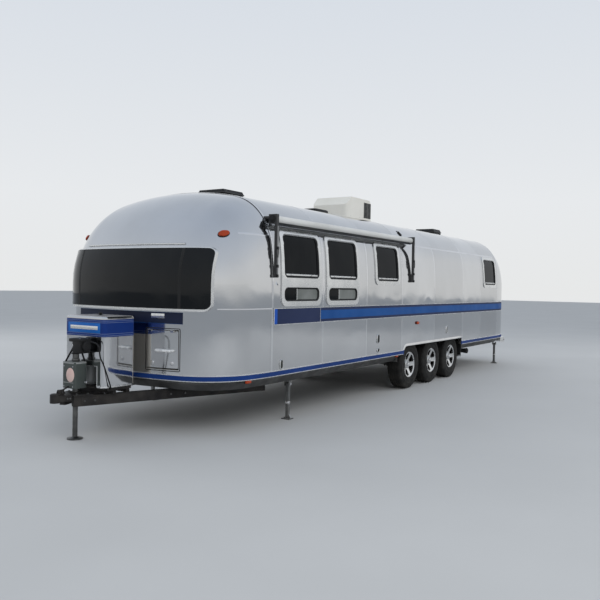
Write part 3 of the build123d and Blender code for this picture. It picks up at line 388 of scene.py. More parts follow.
@dataclass(frozen=True)
class Studio:
    """Camera, floor, sky and lamps."""

    eye: Point = (9.4366, 5.4023, 1.5064)
    yaw: float = 3.7139
    pitch: float = -0.020065
    roll: float = 0.01827
    lens: float = 41.733
    floor_tone: float = 0.48
    floor_z: float = -0.001
    aim: Point = (0.0, 0.0, 1.2)
    sky_stops: Stops = (
        (0.0, (0.8, 0.81, 0.81)),
        (0.12, (0.8, 0.82, 0.84)),
        (0.45, (0.66, 0.71, 0.78)),
        (1.0, (0.52, 0.59, 0.7)),
    )
    lamps: tuple[tuple[Point, float, float], ...] = (
        ((9.0, 11.0, 9.0), 8.0, 620.0),
        ((-9.0, 9.0, 8.0), 7.0, 380.0),
        ((3.0, -12.0, 8.0), 8.0, 420.0),
    )

    def build(self) -> None:
        """Makes the camera first, then all that lights and carries the caravan."""
        self.camera()
        self.sky()
        self.floor()
        for place, size, power in self.lamps:
            self.lamp(place, size, power)
        bpy.context.scene.view_settings.view_transform = "Standard"

    def camera(self) -> None:
        """Sets the camera where the photograph was taken from."""
        flat = math.cos(self.pitch)
        ahead = Vector((flat * math.cos(self.yaw), flat * math.sin(self.yaw), math.sin(self.pitch)))
        level = ahead.cross(Vector((0.0, 0.0, 1.0))).normalized()
        upright = level.cross(ahead)
        right = level * math.cos(self.roll) + upright * math.sin(self.roll)
        up = upright * math.cos(self.roll) - level * math.sin(self.roll)
        data = bpy.data.cameras.new("view")
        data.lens = self.lens
        data.sensor_width = 36.0
        data.clip_end = 200.0
        camera = bpy.data.objects.new("view", data)
        turn = Matrix((right, up, -ahead)).transposed().to_4x4()
        camera.matrix_world = Matrix.Translation(self.eye) @ turn
        bpy.context.collection.objects.link(camera)
        bpy.context.scene.camera = camera

    def sky(self) -> None:
        """Lights the scene with a sky that is pale at its foot and soft blue above."""
        world = bpy.data.worlds.new("sky")
        bpy.context.scene.world = world
        world.use_nodes = True
        nodes, links = world.node_tree.nodes, world.node_tree.links
        nodes.clear()
        place = nodes.new("ShaderNodeTexCoord")
        apart = nodes.new("ShaderNodeSeparateXYZ")
        ramp = nodes.new("ShaderNodeValToRGB")
        light = nodes.new("ShaderNodeBackground")
        output = nodes.new("ShaderNodeOutputWorld")
        fill_ramp(ramp.color_ramp, self.sky_stops)
        links.new(place.outputs["Generated"], apart.inputs[0])
        links.new(apart.outputs[2], ramp.inputs["Fac"])
        links.new(ramp.outputs["Color"], light.inputs["Color"])
        links.new(light.outputs[0], output.inputs["Surface"])

    def floor(self) -> None:
        """Lays a wide plain floor."""
        mesh = bpy.data.meshes.new("floor")
        form = bmesh.new()
        bmesh.ops.create_grid(form, x_segments=1, y_segments=1, size=90.0)
        form.to_mesh(mesh)
        form.free()
        floor = bpy.data.objects.new("floor", mesh)
        floor.location.z = self.floor_z
        bpy.context.collection.objects.link(floor)
        tone = self.floor_tone
        graph = Graph("floor_paint")
        cloud = graph.levels(graph.noise(0.6, 4.0), 0.35, 0.7)
        graph.set(
            Base_Color=graph.mix(cloud, (tone, tone, tone * 0.98), (tone * 1.05, tone * 1.05, tone * 1.03)),
            Roughness=0.75,
        )
        mesh.materials.append(graph.material)

    def lamp(self, place: Point, size: float, power: float) -> None:
        """Hangs one large soft lamp that looks at the caravan.

        Args:
            place: where the lamp hangs.
            size: the side of its square.
            power: its power in watts.
        """
        data = bpy.data.lights.new("soft_lamp", "AREA")
        data.shape = "SQUARE"
        data.size = size
        data.energy = power
        lamp = bpy.data.objects.new("soft_lamp", data)
        lamp.visible_glossy = False
        aim = Vector(self.aim) - Vector(place)
        lamp.matrix_world = Matrix.Translation(place) @ aim.to_track_quat("-Z", "Y").to_matrix().to_4x4()
        bpy.context.collection.objects.link(lamp)


@dataclass(frozen=True)
class JackCable:
    """The black cable from the jack's head to the left beam of the drawbar."""

    route: tuple[Point, ...] = (
        (4.975, 0.171, 0.94),
        (4.975, 0.3, 0.94),
        (4.972, 0.3, 0.806),
        (4.924, 0.3, 0.736),
        (4.859, 0.3, 0.578),
        (4.815, 0.3, 0.466),
        (4.8, 0.2, 0.438),
    )
    radius: float = 0.007
    length: float = 0.71

    def build(self, rubber: bpy.types.Material) -> None:
        """Args:
            rubber: its jacket's material.
        """
        data = bpy.data.curves.new("jack_lead", "CURVE")
        data.dimensions = "3D"
        data.bevel_depth = self.radius
        data.bevel_resolution = 6
        data.resolution_u = 24
        data.use_fill_caps = True
        spline = data.splines.new("NURBS")
        spline.points.add(len(self.route) - 1)
        for point, place in zip(spline.points, self.route):
            point.co = (*place, 1.0)
        spline.order_u = 3
        spline.use_endpoint_u = True
        data.materials.append(rubber)
        lead = bpy.data.objects.new("jack_lead", data)
        bpy.context.collection.objects.link(lead)
        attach(lead, "trailer")
        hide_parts("jack_cable")


ROAD_DUST: Colour = (0.3, 0.27, 0.23)
SEAM_X = (3.47, 2.44, 1.33, 0.18, -1.0, -2.3, -3.25, -4.28)


FINISHES = (
    PolishedSkin("polished_skin", SEAM_X),
    DarkGlass("dark_glass"),
    DarkGlass("front_glass", 0.22),
    Finish("trim_aluminium", (0.78, 0.78, 0.77), (0.68, 0.68, 0.67), (0.2, 0.34), 1.0, 2.0, 300.0, 0.000006),
    # Painted shade: the belly pan's aluminium is coloured near-black for the shade under the floor; bare
    # aluminium would be pale.
    Finish(
        "lacquered_aluminium", (0.12, 0.12, 0.118), (0.075, 0.075, 0.073), (0.45, 0.65), 0.8, 2.5, 260.0,
        0.00001,
    ),
    Finish("handle_bright", (0.84, 0.84, 0.83), (0.76, 0.76, 0.75), (0.22, 0.34), 0.35, 5.0, 300.0, 0.000006),
    Finish("skin_lap", (0.74, 0.74, 0.75), (0.66, 0.66, 0.67), (0.08, 0.18), 1.0, 2.0, 300.0, 0.000004),
    Finish("rivet_head", (0.72, 0.72, 0.73), (0.64, 0.64, 0.65), (0.15, 0.25), 1.0, 5.0, 300.0, 0.000004),
    Finish("bright_steel", (0.72, 0.72, 0.72), (0.62, 0.62, 0.62), (0.12, 0.25), 1.0, 6.0, 300.0, 0.000006),
    Finish("alloy", (0.8, 0.8, 0.79), (0.66, 0.66, 0.65), (0.16, 0.3), 1.0, 8.0, 300.0, 0.000006, dust=0.12),
    Finish("cover_top", (0.46, 0.45, 0.46), (0.38, 0.37, 0.38), (0.3, 0.45), 0.6, 2.0, 260.0, 0.00001),
    Finish("brass", (0.7, 0.5, 0.2), (0.55, 0.38, 0.15), (0.2, 0.35), 1.0, 8.0, 300.0, 0.000006),
    Finish(
        "galvanised", (0.2, 0.205, 0.205), (0.13, 0.135, 0.135), (0.42, 0.65), 0.85, 12.0, 120.0, 0.00003,
        dust=0.35,
    ),
    Finish("jack_zinc", (0.16, 0.16, 0.155), (0.09, 0.09, 0.088), (0.3, 0.5), 0.9, 9.0, 160.0, 0.00002),
    Finish("awning_arm", (0.3, 0.3, 0.3), (0.22, 0.22, 0.22), (0.3, 0.5), 0.9, 3.0, 200.0, 0.00001),
    Finish(
        "arm_paint", (0.028, 0.028, 0.029), (0.045, 0.044, 0.043), (0.4, 0.6), drift=4.0, gloss=0.3,
        dust=0.1,
    ),
    Finish(
        "black_steel", (0.01, 0.01, 0.011), (0.02, 0.018, 0.017), (0.45, 0.7), drift=4.0, gloss=0.2,
        dust=0.14,
    ),
    Finish(
        "brake_grey", (0.01, 0.009, 0.009), (0.02, 0.016, 0.014), (0.6, 0.85), 0.3, 14.0, 180.0, 0.0001,
        gloss=0.2,
    ),
    Finish("blue_band", (0.016, 0.024, 0.065), (0.021, 0.031, 0.08), (0.42, 0.55), drift=2.0, gloss=0.1),
    Finish("blue_middle", (0.01, 0.075, 0.26), (0.008, 0.06, 0.22), (0.42, 0.55), drift=1.5, gloss=0.1),
    Finish("blue_bright", (0.017, 0.085, 0.4), (0.014, 0.07, 0.34), (0.42, 0.55), drift=3.0, gloss=0.12),
    Finish("blue_insert", (0.01, 0.04, 0.18), (0.008, 0.032, 0.14), (0.42, 0.55), drift=2.0, gloss=0.12),
    # Painted shade: the caps' band is the stripe coloured darker than its side ground, to stand for the caps
    # in shade.
    Finish("cap_band_painted_shade", (0.01, 0.014, 0.035), (0.014, 0.02, 0.045), (0.3, 0.42), drift=2.0, gloss=0.15),
    Finish("cover_blue", (0.006, 0.03, 0.17), (0.008, 0.038, 0.2), (0.3, 0.42), drift=2.0, gloss=0.15),
    Finish("cover_light_blue", (0.015, 0.135, 0.46), (0.012, 0.11, 0.4), (0.3, 0.42), drift=3.0, gloss=0.15),
    Finish("pale_line", (0.22, 0.28, 0.42), (0.17, 0.22, 0.35), (0.3, 0.45), drift=4.0),
    Finish(
        "tyre", (0.009, 0.009, 0.009), (0.015, 0.015, 0.014), (0.62, 0.85), drift=6.0, gloss=0.2, dust=0.08,
        dust_top=0.8,
    ),
    Finish("black_rubber", (0.009, 0.009, 0.009), (0.016, 0.016, 0.016), (0.45, 0.6), gloss=0.25),
    Finish("floor_board", (0.3, 0.23, 0.15), (0.24, 0.18, 0.12), (0.6, 0.8), grain_depth=0.0002),
    Finish("white_plastic", (0.74, 0.72, 0.66), (0.66, 0.64, 0.57), (0.42, 0.6), drift=1.6),
    Finish("black_plastic", (0.009, 0.009, 0.01), (0.016, 0.016, 0.016), (0.4, 0.58), gloss=0.22),
    Finish("smoked_plastic", (0.035, 0.037, 0.04), (0.055, 0.055, 0.055), (0.25, 0.45)),
    Finish("grille_grey", (0.2, 0.2, 0.18), (0.14, 0.14, 0.13), (0.45, 0.6)),
    Finish("grey_plastic", (0.055, 0.066, 0.06), (0.042, 0.05, 0.046), (0.42, 0.62)),
    Finish("fitting_grey", (0.115, 0.13, 0.115), (0.085, 0.095, 0.085), (0.42, 0.62)),
    Finish("housing_edge", (0.3, 0.31, 0.3), (0.24, 0.25, 0.24), (0.35, 0.5), drift=6.0),
    Finish("housing_disc", (0.74, 0.56, 0.5), (0.66, 0.44, 0.39), (0.35, 0.5), drift=9.0),
    Finish("bottle_paint", (0.36, 0.37, 0.37), (0.3, 0.31, 0.31), (0.3, 0.45), 0.2),
    Finish("amber_lens", (0.38, 0.042, 0.004), (0.3, 0.032, 0.003), (0.12, 0.22), coat=0.1, gloss=0.3),
    Finish("red_lens", (0.28, 0.007, 0.006), (0.21, 0.006, 0.005), (0.12, 0.22), coat=0.1, gloss=0.3),
    Finish("insect_screen", (0.17, 0.18, 0.17), (0.12, 0.13, 0.12), (0.35, 0.5), 0.0, 4.0, 900.0, 0.0002),
    Finish("awning_fabric", (0.66, 0.65, 0.61), (0.56, 0.55, 0.52), (0.75, 0.9), 0.0, 1.2, 420.0, 0.0002),
    Finish("awning_cover", (0.6, 0.6, 0.58), (0.5, 0.5, 0.48), (0.55, 0.75), 0.0, 1.4, 420.0, 0.0002),
    # Painted shade: a near-black hem that stands for the shadow under the awning roll.
    Finish("awning_shade_hem", (0.05, 0.055, 0.06), (0.08, 0.08, 0.08), (0.7, 0.9), 0.0, 2.0, 420.0, 0.0002),
    Finish("step_tread", (0.03, 0.03, 0.03), (0.05, 0.05, 0.05), (0.7, 0.9), grain=500.0, grain_depth=0.0002),
)


class Palette:
    """All finishes, each built once."""

    def __init__(self) -> None:
        """Lists the finishes by their names."""
        self.finishes = {finish.name: finish for finish in FINISHES}
        self.made: dict[str, bpy.types.Material] = {}

    def get(self, name: str) -> bpy.types.Material:
        """One finish's material, built when it is first asked for.

        Args:
            name: the finish's name.

        Returns:
            The material.
        """
        if name not in self.made:
            self.made[name] = self.finishes[name].make()
        return self.made[name]


PALETTE = Palette()


@dataclass(frozen=True)
class SkinForm:
    """The skin's outline: three tangent arcs, used as the roof's section and as the plan of both caps."""

    half_width: float = 1.22
    curve_z: float = 1.51
    base_x: Pair = (-4.18, 3.37)
    side_centre: float = -2.33
    side_radius: float = 3.55
    corner: Pair = (0.5872, 0.3655)
    corner_radius: float = 0.61
    crown_centre: float = -2.77
    crown_radius: float = 3.8
    side_end: float = 1.1925
    corner_end: float = 0.6994

    def reach(self, across: float) -> float:
        """How far the outline rises, or a cap reaches out, at one sideways place.

        Args:
            across: the distance from the middle line.

        Returns:
            The rise above the start of the curve.
        """
        width = min(abs(across), self.half_width)
        if width <= self.corner_end:
            return math.sqrt(self.crown_radius**2 - width**2) + self.crown_centre
        if width <= self.side_end:
            return self.corner[1] + math.sqrt(self.corner_radius**2 - (width - self.corner[0]) ** 2)
        return math.sqrt(max(self.side_radius**2 - (width - self.side_centre) ** 2, 0.0))

    def width(self, rise: float) -> float:
        """Half the outline's width at one rise.

        Args:
            rise: the rise above the start of the curve.

        Returns:
            The distance from the middle line to the skin.
        """
        if rise <= 0.0:
            return self.half_width
        if rise <= self.reach(self.side_end):
            return self.side_centre + math.sqrt(self.side_radius**2 - rise**2)
        if rise <= self.reach(self.corner_end):
            return self.corner[0] + math.sqrt(self.corner_radius**2 - (rise - self.corner[1]) ** 2)
        return math.sqrt(max(self.crown_radius**2 - (rise - self.crown_centre) ** 2, 0.0))

    def outward(self, across: float, rise: float) -> Pair:
        """The outline's outward direction.

        Args:
            across: the distance from the middle line.
            rise: the rise there.

        Returns:
            The parts of the direction along the width and along the rise.
        """
        width = abs(across)
        if width <= self.corner_end:
            centre, radius = (0.0, self.crown_centre), self.crown_radius
        elif width <= self.side_end:
            centre, radius = self.corner, self.corner_radius
        else:
            centre, radius = (self.side_centre, 0.0), self.side_radius
        sign = 1.0 if across >= 0.0 else -1.0
        return sign * (width - centre[0]) / radius, (rise - centre[1]) / radius

    def on_side(self, x: float, z: float, side: Side) -> Spot:
        """A spot on the skin, given along the length and by height, on the caps too.

        Args:
            x: the place along the caravan.
            z: the height.
            side: which long side.

        Returns:
            The point and the outward direction.
        """
        base = min(max(x, self.base_x[0]), self.base_x[1])
        out_x, rise = x - base, max(z - self.curve_z, 0.0)
        radius = math.hypot(out_x, rise)
        across = self.width(radius)
        sideways, outwards = self.outward(across, radius)
        normal = Vector((0.0, side.value * sideways, 0.0))
        if radius > 0.0:
            normal += Vector((out_x, 0.0, rise)) * (outwards / radius)
        return Vector((x, side.value * across, z)), normal.normalized()

    def on_roof(self, x: float, y: float) -> Spot:
        """A spot on the straight roof, given from above.

        Args:
            x: the place along the caravan.
            y: the sideways place.

        Returns:
            The point and the outward direction.
        """
        rise = self.reach(y)
        sideways, upwards = self.outward(y, rise)
        return Vector((x, y, self.curve_z + rise)), Vector((0.0, sideways, upwards))

    def on_end(self, end: End, y: float, z: float) -> Spot:
        """A spot on a cap, given from in front of it.

        Args:
            end: which cap.
            y: the sideways place.
            z: the height.

        Returns:
            The point and the outward direction.
        """
        radius = max(self.reach(y), 1e-6)
        rise = min(max(z - self.curve_z, 0.0), radius)
        out_x = math.sqrt(radius**2 - rise**2)
        sideways, outwards = self.outward(y, radius)
        base = self.base_x[1] if end is End.FRONT else self.base_x[0]
        point = Vector((base + end.value * out_x, y, z))
        return point, Vector((end.value * outwards * out_x / radius, sideways, outwards * rise / radius))

    def at(self, where: Side | End, place: Pair) -> Spot:
        """A spot on a side or a cap, from its place along it and its height."""
        return self.on_side(*place, where) if isinstance(where, Side) else self.on_end(where, *place)

    def hoop(self, x: float, low_z: float, steps: int = 90) -> Path:
        """A line over the straight body from one side's foot to the other's.

        Args:
            x: the place along the caravan.
            low_z: where it starts and ends.
            steps: how many parts one half has.

        Returns:
            The spots along the line.
        """
        half = [self.on_side(x, low_z + (self.curve_z - low_z) * step / 8, Side.LEFT) for step in range(8)]
        turns = [step / steps for step in range(steps + 1)]
        for turn in turns:
            across = self.half_width * math.cos(turn * math.pi / 2)
            rise = self.reach(across)
            if turn > 0.0:
                half.append(self.on_roof(x, across))
            else:
                half.append(self.on_side(x, self.curve_z + rise, Side.LEFT))
        mirror = [(Vector((p.x, -p.y, p.z)), Vector((n.x, -n.y, n.z))) for p, n in reversed(half[:-1])]
        return half + mirror

    def along(self, low_x: float, high_x: float, z: float, side: Side, steps: int = 60) -> Path:
        """A level line along one side, from its rear end to its front end."""
        return [self.on_side(low_x + (high_x - low_x) * step / steps, z, side) for step in range(steps + 1)]

    def round_end(self, end: End, low_y: float, high_y: float, z: float, steps: int = 60) -> Path:
        """A level line across one cap, from its right-hand end to its left-hand end."""
        return [self.on_end(end, low_y + (high_y - low_y) * step / steps, z) for step in range(steps + 1)]


FORM = SkinForm()


def spaced(path: Path, gap: float, start: float = 0.5) -> Path:
    """Spots at an even gap along a line.

    Args:
        path: the line's spots.
        gap: the distance between two spots.
        start: where the first one stands, in gaps.

    Returns:
        The evenly spaced spots.
    """
    found: Path = []
    wanted, gone = gap * start, 0.0
    for (first, first_out), (second, second_out) in zip(path, path[1:]):
        length = (second - first).length
        while length > 0.0 and wanted <= gone + length:
            share = (wanted - gone) / length
            found.append((first.lerp(second, share), first_out.lerp(second_out, share).normalized()))
            wanted += gap
        gone += length
    return found


def shifted(path: Path, offset: float) -> Path:
    """A line moved sideways on the skin.

    Args:
        path: the line's spots.
        offset: how far it moves.

    Returns:
        The moved spots.
    """
    moved: Path = []
    for index, (point, out) in enumerate(path):
        ahead = path[min(index + 1, len(path) - 1)][0] - path[max(index - 1, 0)][0]
        moved.append((point + ahead.cross(out).normalized() * offset, out))
    return moved


WASHER = 0.002


def circle(steps: int) -> list[Pair]:
    """The cosine and sine of evenly spread turns.

    Args:
        steps: how many turns there are.

    Returns:
        One pair for each turn.
    """
    turns = [2.0 * math.pi * step / steps for step in range(steps)]
    return [(math.cos(turn), math.sin(turn)) for turn in turns]


def even(*right: Pair) -> Flat:
    """A strip's section that is the same on both sides.

    Args:
        right: offsets of its right half, sideways and outward, from the foot up.

    Returns:
        The whole section as a closed loop.
    """
    foot, *upper = right
    return ((-foot[0], foot[1]), *right, *((-s, h) for s, h in reversed(upper)))


def bridge(
    part: bmesh.types.BMesh, rings: list[list[bmesh.types.BMVert]], looped: bool = False, capped: bool = False
) -> None:
    """Joins each ring of corners to the next one with faces.

    Args:
        part: the form that the corners are in.
        rings: the rings in order, each with as many corners.
        looped: join the last ring to the first.
        capped: close both end rings with a face.
    """
    for lower, upper in list(zip(rings, rings[1:])) + ([(rings[-1], rings[0])] if looped else []):
        for step, corner in enumerate(lower):
            after = (step + 1) % len(lower)
            part.faces.new((corner, lower[after], upper[after], upper[step]))
    if capped:
        part.faces.new(rings[0])
        part.faces.new(list(reversed(rings[-1])))


class Piece:
    """One visible piece: forms are added to it, then it is hung on a body with its finish."""

    def __init__(self, name: str) -> None:
        """Starts an empty piece with its name."""
        self.name = name
        self.form = bmesh.new()

    def take(self, part: bmesh.types.BMesh, turned: bool = True) -> None:
        """Joins another form to this one and frees it.

        Args:
            part: the form to join.
            turned: turn its faces outward first.
        """
        if turned:
            bmesh.ops.recalc_face_normals(part, faces=part.faces)
        mesh = bpy.data.meshes.new("part")
        part.to_mesh(mesh)
        part.free()
        self.form.from_mesh(mesh)
        bpy.data.meshes.remove(mesh)

    def slab(self, low: Point, high: Point, bevel: float = 0.002, turn: Matrix | None = None) -> None:
        """Adds a block with rounded edges.

        Args:
            low: its lowest corner.
            high: its highest corner.
            bevel: the radius of its edges.
            turn: a move made afterwards.
        """
        part = bmesh.new()
        bmesh.ops.create_cube(part, size=1.0)
        bmesh.ops.scale(part, vec=Vector(high) - Vector(low), verts=part.verts)
        bmesh.ops.translate(part, vec=(Vector(high) + Vector(low)) / 2, verts=part.verts)
        bmesh.ops.bevel(part, geom=part.edges[:], offset=bevel, segments=2, affect="EDGES", profile=0.5)
        if turn is not None:
            bmesh.ops.transform(part, matrix=turn, verts=part.verts)
        self.take(part, turned=False)

    def lathe(self, profile: Flat, place: Matrix, steps: int = 32) -> None:
        """Adds a turned form about the place's Z axis.

        Args:
            profile: pairs of height and radius.
            place: where the turned form stands.
            steps: how many flats it has.
        """
        part = bmesh.new()
        rings = []
        for height, radius in profile:
            if radius <= 0.0:
                rings.append([part.verts.new(place @ Vector((0.0, 0.0, height)))])
                continue
            ring = [Vector((radius * c, radius * s, height)) for c, s in circle(steps)]
            rings.append([part.verts.new(place @ point) for point in ring])
        for lower, upper in zip(rings, rings[1:]):
            for step in range(steps):
                after = (step + 1) % steps
                corners = [lower[step % len(lower)], lower[after % len(lower)]]
                corners += [upper[after % len(upper)], upper[step % len(upper)]]
                kept = [v for i, v in enumerate(corners) if v not in corners[:i]]
                if len(kept) > 2:
                    part.faces.new(kept)
        self.take(part)

    def stud(self, place: Matrix, foot: Pair, top: Pair, steps: int) -> None:
        """Adds a bolt head or a knob: a straight foot and a chamfered top.

        Args:
            place: where it stands.
            foot: the radius and height of its straight part.
            top: the radius and height of its top.
            steps: how many flats it has.
        """
        self.lathe(((0.0, foot[0]), (foot[1], foot[0]), (top[1], top[0]), (top[1], 0.0)), place, steps)

    def nut(self, place: Matrix, washer: float, foot: Pair, top: Pair) -> None:
        """Adds a hexagon nut on its washer.

        Args:
            place: where it stands.
            washer: the washer's radius.
            foot: the radius and height of the nut's straight part.
            top: the radius and height of its top.
        """
        rest = ((WASHER, foot[0]), (foot[1], foot[0]), (top[1], top[0]), (top[1], 0.0))
        self.lathe(((0.0, washer), (WASHER, washer), *rest), place, 6)

    def sweep(self, path: Path, section: Flat, closed: bool = False) -> None:
        """Adds a strip with one section along a line.

        Args:
            path: the line's spots, each with its outward direction.
            section: pairs of sideways and outward offset, in a closed loop.
            closed: join the line's end to its start.
        """
        part = bmesh.new()
        rings = []
        count = len(path)
        for index, (point, out) in enumerate(path):
            after = path[(index + 1) % count] if closed else path[min(index + 1, count - 1)]
            before = path[index - 1] if closed or index else path[0]
            sideways = (after[0] - before[0]).cross(out).normalized()
            rings.append([part.verts.new(point + sideways * s + out * h) for s, h in section])
        bridge(part, rings, looped=closed, capped=not closed)
        self.take(part)

    def tube(self, points: tuple[Point | Vector, ...], radius: float, sides: int = 12) -> None:
        """Adds a round bar along straight runs, with mitred corners.

        Args:
            points: the ends and corners of the bar.
            radius: its radius.
            sides: how many flats it has.
        """
        part = bmesh.new()
        line = [Vector(p) for p in points]
        rings = []
        ahead = (line[1] - line[0]).normalized()
        side = ahead.orthogonal().normalized()
        for index, point in enumerate(line):
            before = (point - line[index - 1]).normalized() if index else ahead
            after = (line[index + 1] - point).normalized() if index + 1 < len(line) else before
            middle = (before + after).normalized()
            side = (side - middle * side.dot(middle)).normalized()
            across = middle.cross(side)
            stretch = 1.0 / max(middle.dot(before), 0.5)
            bend = after - before
            bend = bend.normalized() if bend.length > 1e-6 else side
            ring = []
            for c, s in circle(sides):
                arm = side * c + across * s
                arm += bend * arm.dot(bend) * (stretch - 1.0)
                ring.append(part.verts.new(point + arm * radius))
            rings.append(ring)
        bridge(part, rings, capped=True)
        self.take(part)

    def dome(self, spot: Spot, radius: float, height: float, sides: int = 6) -> None:
        """Adds a rivet head.

        Args:
            spot: where it sits and which way it points.
            radius: its radius.
            height: how proud it stands.
            sides: how many flats it has.
        """
        point, out = spot
        side = out.orthogonal().normalized()
        across = out.cross(side)
        arms = [side * c + across * s for c, s in circle(sides)]
        foot = [self.form.verts.new(point + arm * radius - out * 0.0006) for arm in arms]
        shoulder = [self.form.verts.new(point + arm * radius * 0.68 + out * height * 0.75) for arm in arms]
        top = self.form.verts.new(point + out * height)
        for step in range(sides):
            after = (step + 1) % sides
            self.form.faces.new((foot[step], foot[after], shoulder[after], shoulder[step]))
            self.form.faces.new((shoulder[step], shoulder[after], top))

    def plate(self, outline: list[Vector], out: Vector, thickness: float, bevel: float = 0.001) -> None:
        """Adds a flat plate from its outline.

        Args:
            outline: the corners of its back face, in order.
            out: the direction that its front faces.
            thickness: how thick it is.
            bevel: the radius of its front edge.
        """
        part = bmesh.new()
        face = part.faces.new([part.verts.new(corner) for corner in outline])
        pulled = bmesh.ops.extrude_face_region(part, geom=[face])["geom"]
        moved = [v for v in pulled if isinstance(v, bmesh.types.BMVert)]
        bmesh.ops.translate(part, vec=out.normalized() * thickness, verts=moved)
        edges = [edge for f in pulled if isinstance(f, bmesh.types.BMFace) for edge in f.edges]
        if bevel > 0.0:
            bmesh.ops.bevel(part, geom=edges, offset=bevel, segments=2, affect="EDGES", profile=0.5)
        self.take(part)

    def hang(
        self, finish: str, slot: str = "", body: str = "trailer", replaces: tuple[
            str, ...
        ] = (), sharp: float = 35.0
    ) -> None:
        """Makes the object, gives it its finish and hangs it on its body.

        Args:
            finish: the finish's name in the palette.
            slot: the record's slot for it, where that has another name; not used.
            body: the body that it moves with.
            replaces: the nodes that it stands for.
            sharp: the angle, in degrees, above which an edge looks sharp.
        """
        mesh = bpy.data.meshes.new(self.name)
        self.form.to_mesh(mesh)
        self.form.free()
        mesh.shade_smooth()
        mesh.set_sharp_from_angle(angle=math.radians(sharp))
        mesh.materials.append(PALETTE.get(finish))
        piece = bpy.data.objects.new(self.name, mesh)
        bpy.context.collection.objects.link(piece)
        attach(piece, body)
        if replaces:
            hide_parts(*replaces)


def rounded_loop(low: Pair, high: Pair, radius: float, steps: int = 6) -> list[Pair]:
    """The outline of a rounded rectangle, anticlockwise.

    Args:
        low: its low corner.
        high: its high corner.
        radius: the radius of its corners.
        steps: how many parts each corner has.

    Returns:
        Flat points without a repeat at the end.
    """
    corners = (
        (high[0] - radius, high[1] - radius, 0.0),
        (low[0] + radius, high[1] - radius, 0.5),
        (low[0] + radius, low[1] + radius, 1.0),
        (high[0] - radius, low[1] + radius, 1.5),
    )
    loop: list[Pair] = []
    for middle_x, middle_y, start in corners:
        for step in range(steps + 1):
            turn = math.pi * (start + 0.5 * step / steps)
            loop.append((middle_x + radius * math.cos(turn), middle_y + radius * math.sin(turn)))
    dense: list[Pair] = []
    for first, second in zip(loop, loop[1:] + loop[:1]):
        parts = max(1, int(math.dist(first, second) / 0.09))
        dense += [
            (
                first[0] + (second[0] - first[0]) * part / parts,
                first[1] + (second[1] - first[1]) * part / parts,
            )
            for part in range(parts)
        ]
    return dense


def level_ring(low: Pair, high: Pair, corner: float, z: float, steps: int = 6) -> Path:
    """The level line round an upright box with rounded corners.

    Args:
        low: the box's low corner, seen from above.
        high: its high corner.
        corner: the radius of its corners.
        z: the line's height.
        steps: how many parts each corner has.

    Returns:
        The spots along the closed line.
    """
    spots: Path = []
    for a, b in rounded_loop(low, high, corner, steps):
        inner_x = min(max(a, low[0] + corner), high[0] - corner)
        inner_y = min(max(b, low[1] + corner), high[1] - corner)
        out = Vector((a, b, 0.0)) - Vector((inner_x, inner_y, 0.0))
        spots.append((Vector((a, b, z)), out.normalized()))
    return spots


@dataclass(frozen=True)
class SkinSeams:
    """Laps between the skin's sheets, with their rows of rivets."""

    hoops: Flat = (
        (3.47, 0.607), (2.44, 0.607), (1.33, 0.607), (0.225, 0.607),
        (-1.0, 0.7), (-2.31, 0.607), (-3.25, 0.607), (-4.28, 0.607),
    )
    lap_half: float = 0.015
    lap_proud: float = 0.0009
    rivet: Pair = (0.0034, 0.0016)
    rivet_gap: float = 0.038
    row_offset: float = 0.009
    ends: Pair = (-4.28, 3.47)
    side_level: float = 2.14
    sill_level: float = 1.277
    end_level: float = 2.03
    end_reach: float = 0.42
    shield_level: float = 1.262
    shield_reach: float = 0.68
    shield_half: float = 0.006

    def lap(self, piece: Piece, path: Path, half: float) -> None:
        """Adds one lap along its middle line, given half its width."""
        top = self.lap_proud
        piece.sweep(path, even((half, -0.001), (half, top * 0.4), (half - 0.002, top)))

    def rivets(self, piece: Piece, path: Path, offsets: tuple[float, ...], lift: float) -> None:
        """Adds rows of rivets beside a line.

        Args:
            piece: what they are added to.
            path: the line.
            offsets: how far from it each row is.
            lift: how high their feet stand above the skin.
        """
        for row, offset in enumerate(offsets):
            for point, out in spaced(shifted(path, offset), self.rivet_gap, 0.5 + 0.5 * (row % 2)):
                piece.dome((point + out * lift, out), *self.rivet)

    def build(self) -> None:
        """Makes the laps and the rivets of the whole shell."""
        laps, rivets = Piece("skin_laps"), Piece("skin_rivets")
        long_lines = [FORM.hoop(x, low_z) for x, low_z in self.hoops]
        long_lines += [FORM.along(*self.ends, self.side_level, side) for side in Side]
        for path in long_lines:
            self.lap(laps, path, self.lap_half)
            self.rivets(rivets, path, (-self.row_offset, self.row_offset), self.lap_proud)
        self.rivets(rivets, FORM.along(*self.ends, self.sill_level, Side.LEFT), (0.0,), 0.0)
        for end in End:
            base = self.ends[1] if end is End.FRONT else self.ends[0]
            for side in Side:
                half = [
                    FORM.on_side(base + end.value * self.end_reach * step / 12, self.end_level, side)
                    for step in range(13)
                ]
                self.lap(laps, half, self.lap_half * 0.8)
                self.rivets(rivets, half, (0.0,), self.lap_proud)
                low = [
                    FORM.on_side(base + end.value * self.shield_reach * step / 16, self.shield_level, side)
                    for step in range(17)
                ]
                self.lap(laps, low, self.shield_half)
        laps.hang("skin_lap", "polished_skin")
        rivets.hang("rivet_head", "polished_skin", sharp=80.0)


